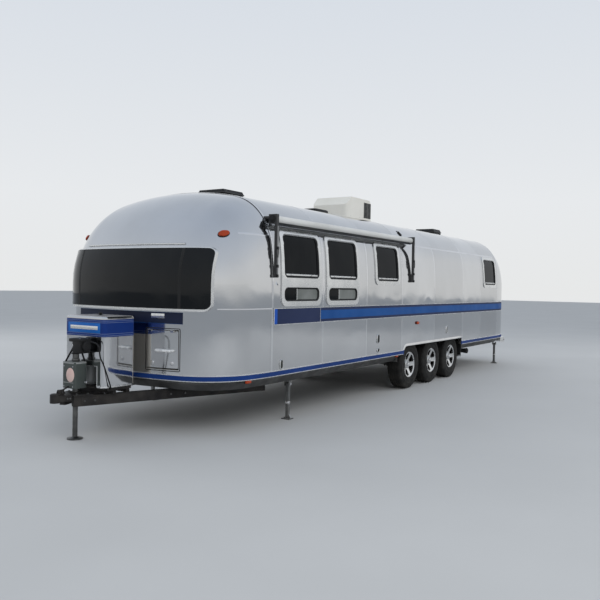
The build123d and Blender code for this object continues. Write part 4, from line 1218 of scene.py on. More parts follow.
@dataclass(frozen=True)
class RubRail:
    """Bright lips of the blue strip at the foot of the skin, and the trim round the wheel arches."""

    low_z: float = 0.546
    high_z: float = 0.606
    arch_front: float = 0.16
    arch_rear: float = -2.25
    arch_top: float = 0.662
    arch_radius: float = 0.11

    def round_body(self, end: End, stop_x: float, z: float) -> Path:
        """A level line from one wheel arch round an end to the other arch.

        Args:
            end: the end that it goes round.
            stop_x: where it starts and stops.
            z: its height.

        Returns:
            The spots along the line.
        """
        base = FORM.base_x[1] if end is End.FRONT else FORM.base_x[0]
        left = [FORM.on_side(stop_x + (base - stop_x) * step / 20, z, Side.LEFT) for step in range(20)]
        turn = [FORM.on_end(end, FORM.half_width * math.cos(math.pi * step / 96), z) for step in range(97)]
        right = [FORM.on_side(base + (stop_x - base) * step / 20, z, Side.RIGHT) for step in range(1, 21)]
        return left + turn + right

    def build(self) -> None:
        """Makes the lips and the arch trims."""
        lips = Piece("rub_rail_lips")
        section = even((0.005, -0.002), (0.005, 0.011), (0.003, 0.0135))
        for end, stop_x in ((End.FRONT, self.arch_front + 0.025), (End.REAR, self.arch_rear - 0.025)):
            for z in (self.low_z + 0.004, self.high_z - 0.002):
                lips.sweep(self.round_body(end, stop_x, z), section)
        lips.hang("trim_aluminium")
        arches = Piece("arch_trims")
        bolts = Piece("arch_rivets")
        for side in Side:
            path = self.arch_path(side)
            sign = float(side.value)
            profile = (
                (0.0, -0.012), (0.03, 0.0), (0.03, 0.003), (0.004, 0.01), (-0.004, 0.01), (-0.004, -0.012)
            )
            arches.sweep(path, tuple((sign * s, h) for s, h in profile))
            for point, out in spaced(shifted(path, sign * 0.02), 0.09):
                bolts.dome((point + out * 0.005, out), 0.0045, 0.002, 8)
        arches.hang("bright_steel")
        bolts.hang("rivet_head", "bright_steel", sharp=80.0)

    def arch_path(self, side: Side) -> Path:
        """The line round one wheel arch, from its rear foot to its front foot.

        Args:
            side: which long side.

        Returns:
            The spots along the line.
        """
        places = [(self.arch_rear, self.low_z), (self.arch_rear, self.arch_top)]
        places += [(self.arch_rear + 0.4 * step, self.arch_top) for step in range(1, 6)]
        middle = (self.arch_front - self.arch_radius, self.arch_top - self.arch_radius)
        for step in range(9):
            turn = math.pi / 2 * (1.0 - step / 8)
            places.append(
                (middle[0] + self.arch_radius * math.cos(turn), middle[1] + self.arch_radius * math.sin(turn))
            )
        places.append((self.arch_front, self.low_z))
        return [FORM.on_side(x, z, side) for x, z in places]


@dataclass(frozen=True)
class BeltStripe:
    """The stripe round the waist: a slate ground, a brighter middle, bright edges, and plain plates."""

    low_z: float = 1.088
    high_z: float = 1.268
    rear_x: float = -4.65
    front_x: float = 3.45
    door: Pair = (1.44, 2.26)
    plate_rear_x: float = 2.5
    middle_half: float = 0.052
    block_x: Pair = (3.385, 3.438)
    leaf_x: Pair = (1.512, 2.188)
    ground_proud: float = 0.0025
    middle_proud: float = 0.0036
    edge_proud: float = 0.004
    end_half: float = 0.745
    end_z: float = 1.166
    end_lines: Pair = (1.111, 1.221)
    front_plate: Pair = (0.38, 0.54)
    rear_plate: Pair = (-0.08, 0.08)
    plate_z: float = 1.185

    def strip(self, piece: Piece, span: Pair, z: Pair, proud: float, side: Side) -> None:
        """Adds one flat strip along a side.

        Args:
            piece: what it is added to.
            span: its ends along X.
            z: its lower and upper edge.
            proud: how far it stands off the skin.
            side: which long side.
        """
        half = (z[1] - z[0]) / 2
        path = FORM.along(span[0], span[1], (z[0] + z[1]) / 2, side, max(2, int((span[1] - span[0]) / 0.1)))
        edge = min(0.0015, proud / 2)
        piece.sweep(path, even((half, -0.001), (half, proud - edge), (half - edge, proud)))

    def middle_z(self) -> Pair:
        """The lower and upper edge of the brighter middle."""
        centre = (self.low_z + self.high_z) / 2
        return centre - self.middle_half, centre + self.middle_half

    def build(self) -> None:
        """Makes the stripe on both sides, on the door and across the ends."""
        ground, middle, edges = Piece("belt_ground"), Piece("belt_middle"), Piece("belt_edges")
        bright = Piece("belt_front_block")
        for side in Side:
            spans = ((self.rear_x, self.front_x),)
            if side is Side.RIGHT:
                spans = ((self.rear_x, self.door[0]), (self.door[1], self.front_x))
            for span in spans:
                self.strip(ground, span, (self.low_z, self.high_z), self.ground_proud, side)
                for z in (self.low_z + 0.004, self.high_z - 0.004):
                    self.strip(edges, span, (z - 0.004, z + 0.004), self.edge_proud, side)
                front = min(span[1], self.plate_rear_x)
                if front > span[0]:
                    self.strip(middle, (span[0], front), self.middle_z(), self.middle_proud, side)
            self.strip(bright, self.block_x, (self.low_z + 0.01, self.high_z - 0.01), self.middle_proud, side)
            self.strip(
                edges, (self.block_x[1], self.front_x), (self.low_z, self.high_z), self.edge_proud, side
            )
            post = (self.plate_rear_x, self.plate_rear_x + 0.006)
            self.strip(edges, post, (self.low_z + 0.008, self.high_z - 0.008), 0.0034, side)
        ground.hang("blue_band", replaces=("belt_bands",))
        middle.hang("blue_middle", "blue_band")
        bright.hang("blue_bright", "blue_band")
        edges.hang("trim_aluminium")
        self.ends()
        self.on_door()

    def ends(self) -> None:
        """Makes the bands across the two caps, each with a bare plate; the bands are coloured darker than the
        side stripe, as painted shade on the caps.
        """
        band, lines, plate = Piece("end_bands"), Piece("end_band_lines"), Piece("end_band_plates")
        for end in End:
            path = FORM.round_end(end, -self.end_half, self.end_half, self.end_z, 48)
            band.sweep(path, even((0.058, -0.001), (0.058, 0.002), (0.0565, 0.0035)))
            for z in self.end_lines:
                line = FORM.round_end(end, -self.end_half, self.end_half, z, 48)
                lines.sweep(line, even((0.0025, -0.001), (0.0025, 0.0035)))
            span = self.front_plate if end is End.FRONT else self.rear_plate
            face = FORM.round_end(end, *span, self.plate_z, 8)
            plate.sweep(face, even((0.023, 0.0), (0.023, 0.006), (0.019, 0.008)))
        # The cap bands' dark colour is painted shade.
        band.hang("cap_band_painted_shade", "blue_band")
        lines.hang("blue_middle", "blue_band")
        plate.hang("trim_aluminium")

    def on_door(self) -> None:
        """Carries the stripe across the entry door."""
        ground, middle = Piece("door_belt_ground"), Piece("door_belt_middle")
        self.strip(ground, self.leaf_x, (self.low_z, self.high_z), self.ground_proud, Side.RIGHT)
        self.strip(middle, self.leaf_x, self.middle_z(), self.middle_proud, Side.RIGHT)
        ground.hang("blue_band", body="entry_door")
        middle.hang("blue_middle", "blue_band", body="entry_door")


@dataclass(frozen=True)
class Windows:
    """Rubber gaskets, rails, sliding panels and the wrapped front panes."""

    upper: Pair = (1.6, 2.059)
    lower: Pair = (1.345, 1.485)
    wide: tuple[tuple[float, float, bool], ...] = ((2.56, 3.26, True), (1.63, 2.32, False))
    single: tuple[tuple[float, float, bool], ...] = ((0.39, 1.04, True), (-4.1, -3.46, True))
    shield: Quad = (-0.987, 0.987, 1.262, 1.85)
    rear_pane: Quad = (-0.6, 0.6, 1.34, 1.83)
    radius: float = 0.055
    side_proud: float = 0.012
    end_proud: float = 0.03
    shield_lift: float = 0.0335
    mullion_y: float = 0.72
    front_rail: Pair = (0.7, 1.905)

    def loop(self, span: Pair, z: Pair, where: Side | End, grow: float = 0.0) -> Path:
        """The line round one pane, on the skin.

        Args:
            span: its low and high place along the skin.
            z: its sill and head.
            where: the side or end that it is in.
            grow: how far outside the pane's edge the line runs.

        Returns:
            The spots along the closed line.
        """
        low, high = (span[0] - grow, z[0] - grow), (span[1] + grow, z[1] + grow)
        flat = rounded_loop(low, high, self.radius + grow)
        return [FORM.at(where, place) for place in flat]

    def panes(self) -> list[tuple[Pair, Pair, Side | End, float]]:
        """Every pane: its span, its heights, where it is, and how proud its frame stands."""
        found: list[tuple[Pair, Pair, Side | End, float]] = []
        for panes, rows in ((self.wide, (self.upper, self.lower)), (self.single, (self.upper,))):
            for rear, front, both in panes:
                for side in Side if both else (Side.LEFT,):
                    found += [((rear, front), row, side, self.side_proud) for row in rows]
        return found + [(self.rear_pane[:2], self.rear_pane[2:], End.REAR, self.end_proud)]

    def build(self) -> None:
        """Makes all that lies in and on the window frames."""
        rubber, rails = Piece("window_gaskets"), Piece("window_rails")
        screens, screws = Piece("sliding_panels"), Piece("window_rivets")
        for span, z, where, proud in self.panes():
            path = self.loop(span, z, where)
            sign = -1.0 if where in (Side.LEFT, End.REAR) else 1.0
            profile = (
                (0.0, -0.006), (-0.011, -0.006), (-0.011, -0.002), (-0.004, proud - 0.004),
                (0.001, proud + 0.0015), (0.006, proud + 0.0015), (0.006, proud - 0.002),
                (0.0, proud - 0.002),
            )
            rubber.sweep(path, tuple((sign * s, h) for s, h in profile), closed=True)
            if not isinstance(where, Side):
                continue
            for point, out in spaced(self.loop(span, z, where, 0.04), 0.085):
                screws.dome((point + out * proud, out), 0.0036, 0.0015)
            if z == self.upper:
                rail = FORM.along(span[0] + 0.03, span[1] - 0.03, z[0] + 0.026, where, 8)
                rails.sweep(rail, even((0.011, -0.006), (0.011, 0.004), (0.006, 0.008)))
                for latch_x in (span[0] + 0.14, span[1] - 0.14):
                    latch = FORM.along(latch_x - 0.022, latch_x + 0.022, z[0] + 0.026, where, 2)
                    rails.sweep(latch, even((0.007, 0.006), (0.006, 0.016)))
            if z == self.lower:
                third = span[0] + (span[1] - span[0]) * 0.64
                panel = FORM.along(span[0] + 0.012, third, (z[0] + z[1]) / 2, where, 6)
                screens.sweep(panel, even((0.057, -0.0045), (0.057, -0.003)))
                bar = [
                    FORM.on_side(third, z[0] + 0.008 + (z[1] - z[0] - 0.016) * step / 4, where)
                    for step in range(5)
                ]
                rails.sweep(bar, even((0.006, -0.005), (0.005, 0.002)))
        rubber.hang("black_rubber")
        rails.hang("trim_aluminium")
        screens.hang("insect_screen", "dark_glass")
        screws.hang("rivet_head", "trim_aluminium", sharp=80.0)
        self.front()

    def front(self) -> None:
        """Makes the wrapped front shield, its rubber rim and two mullions, and the rail above it."""
        low, high = self.shield[:2]
        pane = Piece("front_shield")
        self.curved_pane(pane, low, high)
        pane.hang("front_glass", "dark_glass")
        rubber = Piece("front_window_rubber")
        path = self.loop((low, high), self.shield[2:], End.FRONT)
        rubber.sweep(
            path, ((0.003, 0.026), (-0.004, 0.026), (-0.005, 0.034), (-0.003, 0.0355), (0.002, 0.035)),
            closed=True,
        )
        tall = self.shield[3] - self.shield[2]
        for y in (-self.mullion_y, self.mullion_y):
            path = [FORM.on_end(End.FRONT, y, self.shield[2] + tall * step / 12) for step in range(13)]
            rubber.sweep(path, even((0.017, 0.032), (0.017, 0.0338), (0.012, 0.035)))
        rubber.hang("black_rubber")
        rail = Piece("front_window_rail")
        reach, z = self.front_rail
        path = FORM.round_end(End.FRONT, -reach, reach, z, 40)
        rail.sweep(
            path,
            (
                (-0.012, -0.001), (0.012, -0.001), (0.012, 0.006), (0.008, 0.016), (0.002, 0.018),
                (-0.012, 0.005),
            ),
        )
        rail.hang("trim_aluminium")

    def curved_pane(self, piece: Piece, low: float, high: float) -> None:
        """Adds one dark shield that follows the cap, just in front of the frame.

        Args:
            piece: what it is added to.
            low: its right-hand edge.
            high: its left-hand edge.
        """
        part = bmesh.new()
        z_low, z_high = self.shield[2:]
        heights = [z_low + self.radius * (1.0 - math.cos(math.pi / 2 * step / 6)) for step in range(7)]
        heights += [
            z_low + self.radius + (z_high - z_low - 2 * self.radius) * step / 14
            for step in range(1, 14)
        ]
        heights += [
            z_high - self.radius * (1.0 - math.cos(math.pi / 2 * (6 - step) / 6))
            for step in range(7)
        ]
        rows = []
        for z in heights:
            depth = max(z_low + self.radius - z, z - z_high + self.radius, 0.0)
            inset = self.radius - math.sqrt(max(self.radius**2 - depth**2, 0.0))
            row = []
            for step in range(73):
                y = low + inset + (high - low - 2 * inset) * step / 72
                point, out = FORM.on_end(End.FRONT, y, z)
                row.append(part.verts.new(point + out * self.shield_lift))
            rows.append(row)
        for lower, upper in zip(rows, rows[1:]):
            for step in range(72):
                part.faces.new((lower[step], lower[step + 1], upper[step + 1], upper[step]))
        bmesh.ops.recalc_face_normals(part, faces=part.faces)
        bmesh.ops.solidify(part, geom=part.faces[:], thickness=0.003)
        piece.take(part, turned=False)


def facing(point: Point | Vector, out: Point | Vector, up: Point = (0.0, 0.0, 1.0)) -> Matrix:
    """A place whose Z axis points outward.

    Args:
        point: where it is.
        out: its outward direction.
        up: a direction that its Y axis leans to.

    Returns:
        The place's matrix.
    """
    axis = Vector(out).normalized()
    side = Vector(up).cross(axis)
    side = side.normalized() if side.length > 1e-4 else axis.orthogonal().normalized()
    return Matrix.Translation(point) @ Matrix((side, axis.cross(side), axis)).transposed().to_4x4()


@dataclass(frozen=True)
class EntryDoor:
    """Gasket, window trim, lock, kick plate and rivets of the entry door."""

    span: Pair = (1.5, 2.2)
    height: Pair = (0.632, 2.08)
    pane: Quad = (1.68, 2.06, 1.48, 1.95)
    lock_x: float = 1.56
    lock_half: float = 0.03
    lock_z: Pair = (0.944, 1.056)
    latch_z: float = 0.965
    bolt_z: float = 1.42
    kick_z: float = 0.79
    pin_x: float = 2.204
    pin_y: float = -1.23
    hinge_z: tuple[float, ...] = (0.74, 1.02, 1.4)

    def build(self) -> None:
        """Makes the door's small parts; all but the hinge pins move with it."""
        windows = Windows()
        frame_trim, rubber = Piece("door_window_trim"), Piece("door_rubber")
        path = windows.loop(self.pane[:2], self.pane[2:], Side.RIGHT, 0.02)
        frame_trim.sweep(path, even((0.02, -0.001), (0.02, 0.005), (0.014, 0.009)), closed=True)
        inner = windows.loop(self.pane[:2], self.pane[2:], Side.RIGHT)
        rubber.sweep(
            inner, ((-0.009, -0.006), (0.002, -0.006), (0.004, 0.01), (0.0, 0.0105), (-0.009, -0.002)),
            closed=True,
        )
        kick = FORM.along(self.span[0] + 0.03, self.span[1] - 0.05, self.kick_z, Side.RIGHT, 6)
        frame_trim.sweep(kick, even((0.105, 0.0), (0.105, 0.001), (0.103, 0.002)))
        frame_trim.hang("trim_aluminium", body="entry_door")
        rubber.hang("black_rubber", body="entry_door")
        lock = Piece("door_lock")
        y = -FORM.half_width
        rear, front = self.lock_x - self.lock_half, self.lock_x + self.lock_half
        foot, head = self.lock_z
        lock.slab((rear, y - 0.0085, foot), (front, y - 0.005, head), 0.0015)
        latch = facing((self.lock_x + 0.016, y - 0.006, self.latch_z), (0, -1, 0))
        lock.stud(latch, (0.013, 0.006), (0.011, 0.0075), 20)
        bolt = facing((self.lock_x, y, self.bolt_z), (0, -1, 0))
        lock.stud(bolt, (0.017, 0.007), (0.014, 0.009), 24)
        lock.hang("bright_steel", body="entry_door")
        pins = Piece("door_hinge_pins")
        for z in self.hinge_z:
            for low in (z - 0.0635, z + 0.0605):
                place = Matrix.Translation((self.pin_x, self.pin_y, low))
                pins.lathe(((0.0, 0.0), (0.0, 0.0062), (0.003, 0.0062), (0.003, 0.0)), place, 16)
        pins.hang("bright_steel")
        rivets = Piece("door_rivets")
        (rear, front), (foot, head) = self.span, self.height
        edge = rounded_loop((rear + 0.018, foot + 0.018), (front - 0.018, head - 0.018), 0.04)
        for spot in spaced([FORM.on_side(x, z, Side.RIGHT) for x, z in edge], 0.05):
            rivets.dome(spot, 0.0034, 0.0016)
        rivets.hang("rivet_head", "polished_skin", body="entry_door", sharp=80.0)


@dataclass(frozen=True)
class Hatches:
    """Seals, rivets, locks and bright bar handles of the storage hatches."""

    doors: tuple[tuple[str, End, float, float], ...] = (
        ("front_hatch_left", End.FRONT, 0.33, 0.7),
        ("front_hatch_right", End.FRONT, -0.7, -0.33),
        ("rear_hatch", End.REAR, -0.56, 0.56),
    )
    height: Pair = (0.66, 1.04)

    def build(self) -> None:
        """Makes the seals round the openings and what is fixed to each hatch."""
        seal = Piece("hatch_seals")
        for name, end, low, high in self.doors:
            flat = rounded_loop(
                (low - 0.02, self.height[0] - 0.02), (high + 0.02, self.height[1] + 0.022), 0.012, 3
            )
            path = [FORM.on_end(end, y, z) for y, z in flat]
            seal.sweep(path, even((0.004, -0.001), (0.004, 0.001), (0.002, 0.002)), closed=True)
            self.fittings(name, end, low, high)
        seal.hang("black_rubber")

    def fittings(self, name: str, end: End, low: float, high: float) -> None:
        """Makes what is fixed to one hatch.

        Args:
            name: the hatch's body.
            end: the cap that it is in.
            low: its low Y.
            high: its high Y.
        """
        rivets = Piece(f"{name}_rivets")
        flat = rounded_loop(
            (low + 0.012, self.height[0] + 0.012), (high - 0.012, self.height[1] - 0.012), 0.012, 3
        )
        for spot in spaced([FORM.on_end(end, y, z) for y, z in flat], 0.042):
            rivets.dome(spot, 0.0034, 0.0016)
        rivets.hang("rivet_head", "polished_skin", body=name, sharp=80.0)
        locks = Piece(f"{name}_locks")
        width = high - low
        for y in (low + width * 0.18, high - width * 0.18):
            point, out = FORM.on_end(end, y, self.height[0] + 0.055)
            locks.lathe(
                ((-0.001, 0.021), (0.003, 0.021), (0.005, 0.018), (0.005, 0.01), (0.01, 0.009), (0.011, 0.0)),
                facing(point, out), 24,
            )
        locks.hang("bright_steel", body=name)
        if end is End.FRONT:
            grip = Piece(f"{name}_grip")
            turn = 1.0 if low > 0.0 else -1.0
            inner, outer = Vector((4.402, turn * 0.458, 0.841)), Vector((4.377, turn * 0.642, 0.841))
            back = Vector((-0.03, -turn * 0.004, 0.0))
            bar = (inner + back, inner + back * 0.35, inner.lerp(outer, 0.05), inner.lerp(outer, 0.95))
            grip.tube((*bar, outer + back * 0.35, outer + back * 1.1), 0.015, 16)
            grip.hang("handle_bright", "bright_steel", body=name)


@dataclass(frozen=True)
class Lamps:
    """Marker and tail lamps: black bases, bright rings, and domed lenses with ribs."""

    side_lamp: Quad = (-0.327, 0.985, 0.092, 0.044)
    cap_lamp: Quad = (0.992, 2.012, 0.072, 0.06)
    tail: Flat = ((0.985, 1.12), (0.985, 0.94))
    tail_radius: float = 0.072
    low_x: tuple[float, ...] = (0.332, 3.84)
    low_y: Pair = (1.175, 1.208)
    low_z: Pair = (0.516, 0.546)

    def build(self) -> None:
        """Makes all lamps."""
        bases, amber, red = Piece("lamp_bases"), Piece("amber_lenses"), Piece("red_lenses")
        rings = Piece("tail_lamp_rings")
        for side in Side:
            x, z, width, height = self.side_lamp
            self.lamp(bases, amber, side, (x, z), (width, height), 0.024)
            y, z, width, height = self.cap_lamp
            for end, lens in ((End.FRONT, amber), (End.REAR, red)):
                self.lamp(bases, lens, end, (side.value * y, z), (width, height), 0.027)
            for y, z in self.tail:
                radius = self.tail_radius
                low, high = (side.value * y - radius, z - radius), (side.value * y + radius, z + radius)
                path = [FORM.on_end(End.REAR, a, b) for a, b in rounded_loop(low, high, radius - 0.001, 10)]
                section = (
                    (0.01, -0.001), (-0.002, -0.001), (-0.002, 0.031), (0.002, 0.033), (0.007, 0.02),
                    (0.01, 0.004),
                )
                rings.sweep(path, section, closed=True)
            self.low_lamps(bases, amber, side)
        bases.hang("black_plastic")
        amber.hang("amber_lens", replaces=("marker_lamps",))
        red.hang("red_lens")
        rings.hang("bright_steel")

    def lamp(
        self,
        bases: Piece,
        lenses: Piece,
        where: Side | End,
        middle: Pair,
        size: Pair,
        proud: float,
    ) -> None:
        """Adds one marker lamp: a base rim, and a domed lens with upright ribs.

        Args:
            bases: the black rims.
            lenses: the lenses of its colour.
            where: the side or end that it is on.
            middle: its place along that side and its height.
            size: its width and height.
            proud: how far the lens stands off the skin.
        """
        half = (size[0] / 2, size[1] / 2)
        rim = half[1] - 0.001
        flat = rounded_loop(
            (middle[0] - half[0], middle[1] - half[1]), (middle[0] + half[0], middle[1] + half[1]), rim
        )
        sign = -1.0 if where in (Side.LEFT, End.FRONT) else 1.0
        section = ((-0.001, -0.001), (0.006, -0.001), (0.006, 0.004), (0.002, 0.009), (-0.001, 0.009))
        rim_path = [FORM.at(where, place) for place in flat]
        bases.sweep(rim_path, tuple((-sign * s, h) for s, h in section), closed=True)
        part = bmesh.new()
        rings = []
        for share, lift in ((0.99, 0.002), (0.98, 0.6), (0.93, 0.8), (0.8, 0.93), (0.55, 0.99)):
            spots = [
                FORM.at(where, (middle[0] + (a - middle[0]) * share, middle[1] + (b - middle[1]) * share))
                for a, b in flat
            ]
            rings.append([part.verts.new(point + out * proud * lift) for point, out in spots])
        bridge(part, rings)
        part.faces.new(rings[-1])
        lenses.take(part)
        count = 5
        for step in range(count):
            along = middle[0] + half[0] * 0.62 * (2 * step / (count - 1) - 1.0)
            tall = half[1] * (0.72 - 0.25 * abs(2 * step / (count - 1) - 1.0))
            rib = [FORM.at(where, (along, middle[1] + tall * (part_way / 3 - 1.0))) for part_way in range(7)]
            lenses.sweep(rib, even((0.0022, proud * 0.8), (0.0012, proud)))

    def low_lamps(self, bases: Piece, lenses: Piece, side: Side) -> None:
        """Adds the small lamps that hang below the skin's foot.

        Args:
            bases: the black blocks.
            lenses: the amber lenses.
            side: which long side.
        """
        for x in self.low_x:
            back, split, front = (
                side.value * y
                for y in (self.low_y[0], self.low_y[0] + 0.008, self.low_y[1])
            )
            bases.slab(
                (x - 0.045, min(back, split), self.low_z[0]), (x + 0.045, max(back, split), self.low_z[1]),
                0.001,
            )
            low = (x - 0.04, min(split, front), self.low_z[0] + 0.002)
            lenses.slab(low, (x + 0.04, max(split, front), self.low_z[1] - 0.002), 0.006)
            for step in range(-3, 4):
                low = (x + 0.01 * step - 0.0015, min(split, front) + 0.002, self.low_z[0] + 0.0005)
                high = (x + 0.01 * step + 0.0015, max(split, front) - 0.002, self.low_z[1] - 0.0005)
                lenses.slab(low, high, 0.0005)


@dataclass(frozen=True)
class SideFittings:
    """Locks, caps and vents on the lower left side."""

    half_width: float = 1.22
    proud: float = 0.01
    places: tuple[Quad, ...] = (
        (0.985, 0.815, 0.064, 0.12),
        (0.98, 0.66, 0.056, 0.056),
        (-1.545, 0.832, 0.04, 0.12),
        (3.296, 0.666, 0.046, 0.1),
    )

    def build(self) -> None:
        """Makes the fittings' rims and middles."""
        rims, middles = Piece("fitting_rims"), Piece("fitting_middles")
        for x, z, width, height in self.places:
            radius = width / 2 - 0.001
            flat = rounded_loop((x - width / 2, z - height / 2), (x + width / 2, z + height / 2), radius)
            path = [(Vector((a, self.half_width, b)), Vector((0.0, 1.0, 0.0))) for a, b in flat]
            rims.sweep(
                path,
                (
                    (0.005, 0.0), (-0.004, 0.0), (-0.004, 0.007), (-0.001, self.proud + 0.003),
                    (0.003, self.proud + 0.001), (0.005, 0.003),
                ),
                closed=True,
            )
            low = (x - width / 2 + 0.012, self.half_width + self.proud - 0.001, z - height / 2 + 0.012)
            high = (x + width / 2 - 0.012, self.half_width + self.proud + 0.002, z + height / 2 - 0.012)
            middles.slab(low, high, 0.0012)
            head = facing((x, self.half_width + self.proud + 0.0015, z), (0, 1, 0))
            middles.stud(head, (0.008, 0.003), (0.005, 0.005), 20)
        rims.hang("trim_aluminium")
        middles.hang("black_plastic")


@dataclass(frozen=True)
class Awning:
    """A rolled fabric awning on each side: wraps, rail, end castings, arms and their fittings."""

    span: Pair = (-0.06, 3.43)
    y: float = 1.2
    z: float = 2.205
    radius: float = 0.042
    arm_width: float = 0.04
    arm_y: Pair = (1.226, 1.254)
    arm_low: float = 1.59
    lever_z: float = 1.9
    bracket_y: float = 1.012
    knob_bolts: float = 0.034
    knob: Flat = (
        (-0.002, 0.044), (0.003, 0.044), (0.006, 0.041), (0.008, 0.026), (0.016, 0.024), (0.019, 0.017),
        (0.019, 0.0),
    )

    def build(self) -> None:
        """Makes both awnings."""
        rolls, tubes = Piece("awning_wraps"), Piece("awning_shade_hem")
        castings, rails = Piece("awning_castings"), Piece("awning_arm_rails")
        for side in Side:
            self.roll(rolls, side)
            self.shade_hem(tubes, side)
            self.ends(castings, rails, side)
        rolls.hang("awning_cover", "awning_fabric", replaces=("awning_rolls",))
        # The dark hem is painted shade under the roll.
        tubes.hang("awning_shade_hem", "awning_fabric")
        castings.hang("black_plastic")
        rails.hang("awning_arm", "black_steel")

    def roll(self, piece: Piece, side: Side) -> None:
        """Adds the rolled fabric as a scroll whose outer edge shows.

        Args:
            piece: what it is added to.
            side: which long side.
        """
        loop = []
        for step in range(41):
            turn = 2.0 * math.pi * step / 40 - 0.9
            radius = self.radius - 0.0035 * (1.0 - step / 40)
            loop.append((radius * math.cos(turn), radius * math.sin(turn)))
        loop = [*loop[1:], (loop[-1][0] * 0.93, loop[-1][1] * 0.93)]
        length, path = self.span[1] - self.span[0] - 0.004, []
        for step in range(31):
            x = self.span[0] + 0.002 + length * step / 30
            path.append((Vector((x, side.value * self.y, self.z)), Vector((0.0, side.value, 0.0))))
        piece.sweep(path, tuple(loop))

    def shade_hem(self, piece: Piece, side: Side) -> None:
        """Adds a short dark hem below the roll, with a slight wave; it is painted shade for the shadow under
        the roll.

        Args:
            piece: what it is added to.
            side: which long side.
        """
        part, rows = bmesh.new(), []
        for step in range(140):
            x = self.span[0] + 0.02 + (self.span[1] - self.span[0] - 0.04) * step / 139
            wave = 0.0022 * math.sin(x * 23.0) + 0.0014 * math.sin(x * 51.0 + 1.0)
            column = []
            for down in range(6):
                y = self.y + self.radius * 0.55 - 0.01 * down / 5 + wave * down / 5
                z = self.z - self.radius * 0.8 - 0.03 * down / 5
                column.append(part.verts.new((x, side.value * y, z)))
            rows.append(column)
        for first, second in zip(rows, rows[1:]):
            for down in range(5):
                part.faces.new((first[down], second[down], second[down + 1], first[down + 1]))
        bmesh.ops.solidify(part, geom=part.faces[:], thickness=0.0012)
        piece.take(part, turned=False)

    def ends(self, castings: Piece, rails: Piece, side: Side) -> None:
        """Adds the knobs at the roll's ends, the channels on the arms and the stay's foot on the roof.

        Args:
            castings: the black fittings.
            rails: the arms' inner channels.
            side: which long side.
        """
        y = side.value * self.y
        for x, turn in ((self.span[0] - self.arm_width, -1.0), (self.span[1] + self.arm_width, 1.0)):
            castings.lathe(self.knob, facing((x, y, self.z), (turn, 0.0, 0.0)), 28)
            for c, s in circle(6):
                place = (x + turn * 0.006, y + self.knob_bolts * c, self.z + self.knob_bolts * s)
                castings.stud(facing(place, (turn, 0, 0)), (0.0045, 0.0035), (0.003, 0.005), 6)
        for low_x in (self.span[0] - self.arm_width, self.span[1]):
            outer = side.value * self.arm_y[1]
            middle = low_x + self.arm_width / 2
            low, high = sorted((outer, outer + side.value * 0.006))
            rails.slab(
                (middle - 0.012, low, self.arm_low + 0.03), (middle + 0.012, high, self.z - 0.075), 0.0015
            )
            low, high = sorted((outer, outer + side.value * 0.01))
            for z in (self.arm_low + 0.018, self.arm_low + 0.12, self.lever_z):
                castings.slab((middle - 0.019, low, z - 0.016), (middle + 0.019, high, z + 0.016), 0.003)
                head = facing((middle, outer + side.value * 0.009, z), (0, side.value, 0))
                castings.stud(head, (0.01, 0.004), (0.007, 0.006), 16)
            bends = ((0.0, 0.01, 0.0), (0.004, 0.016, 0.04), (0.006, 0.013, 0.1))
            lever = tuple((middle + a, outer + side.value * b, self.lever_z - c) for a, b, c in bends)
            castings.tube(lever, 0.005, 10)
        spot, out = FORM.on_roof(self.span[0], side.value * self.bracket_y)
        lug = facing(spot, out)
        castings.slab((-0.016, -0.055, -0.002), (0.016, 0.055, 0.003), 0.001, lug)
        castings.slab((-0.01, -0.048, 0.002), (0.01, 0.03, 0.018), 0.004, lug)
        for along in (-0.046, 0.044):
            castings.stud(lug @ Matrix.Translation((0.0, along, 0.003)), (0.005, 0.003), (0.003, 0.005), 8)


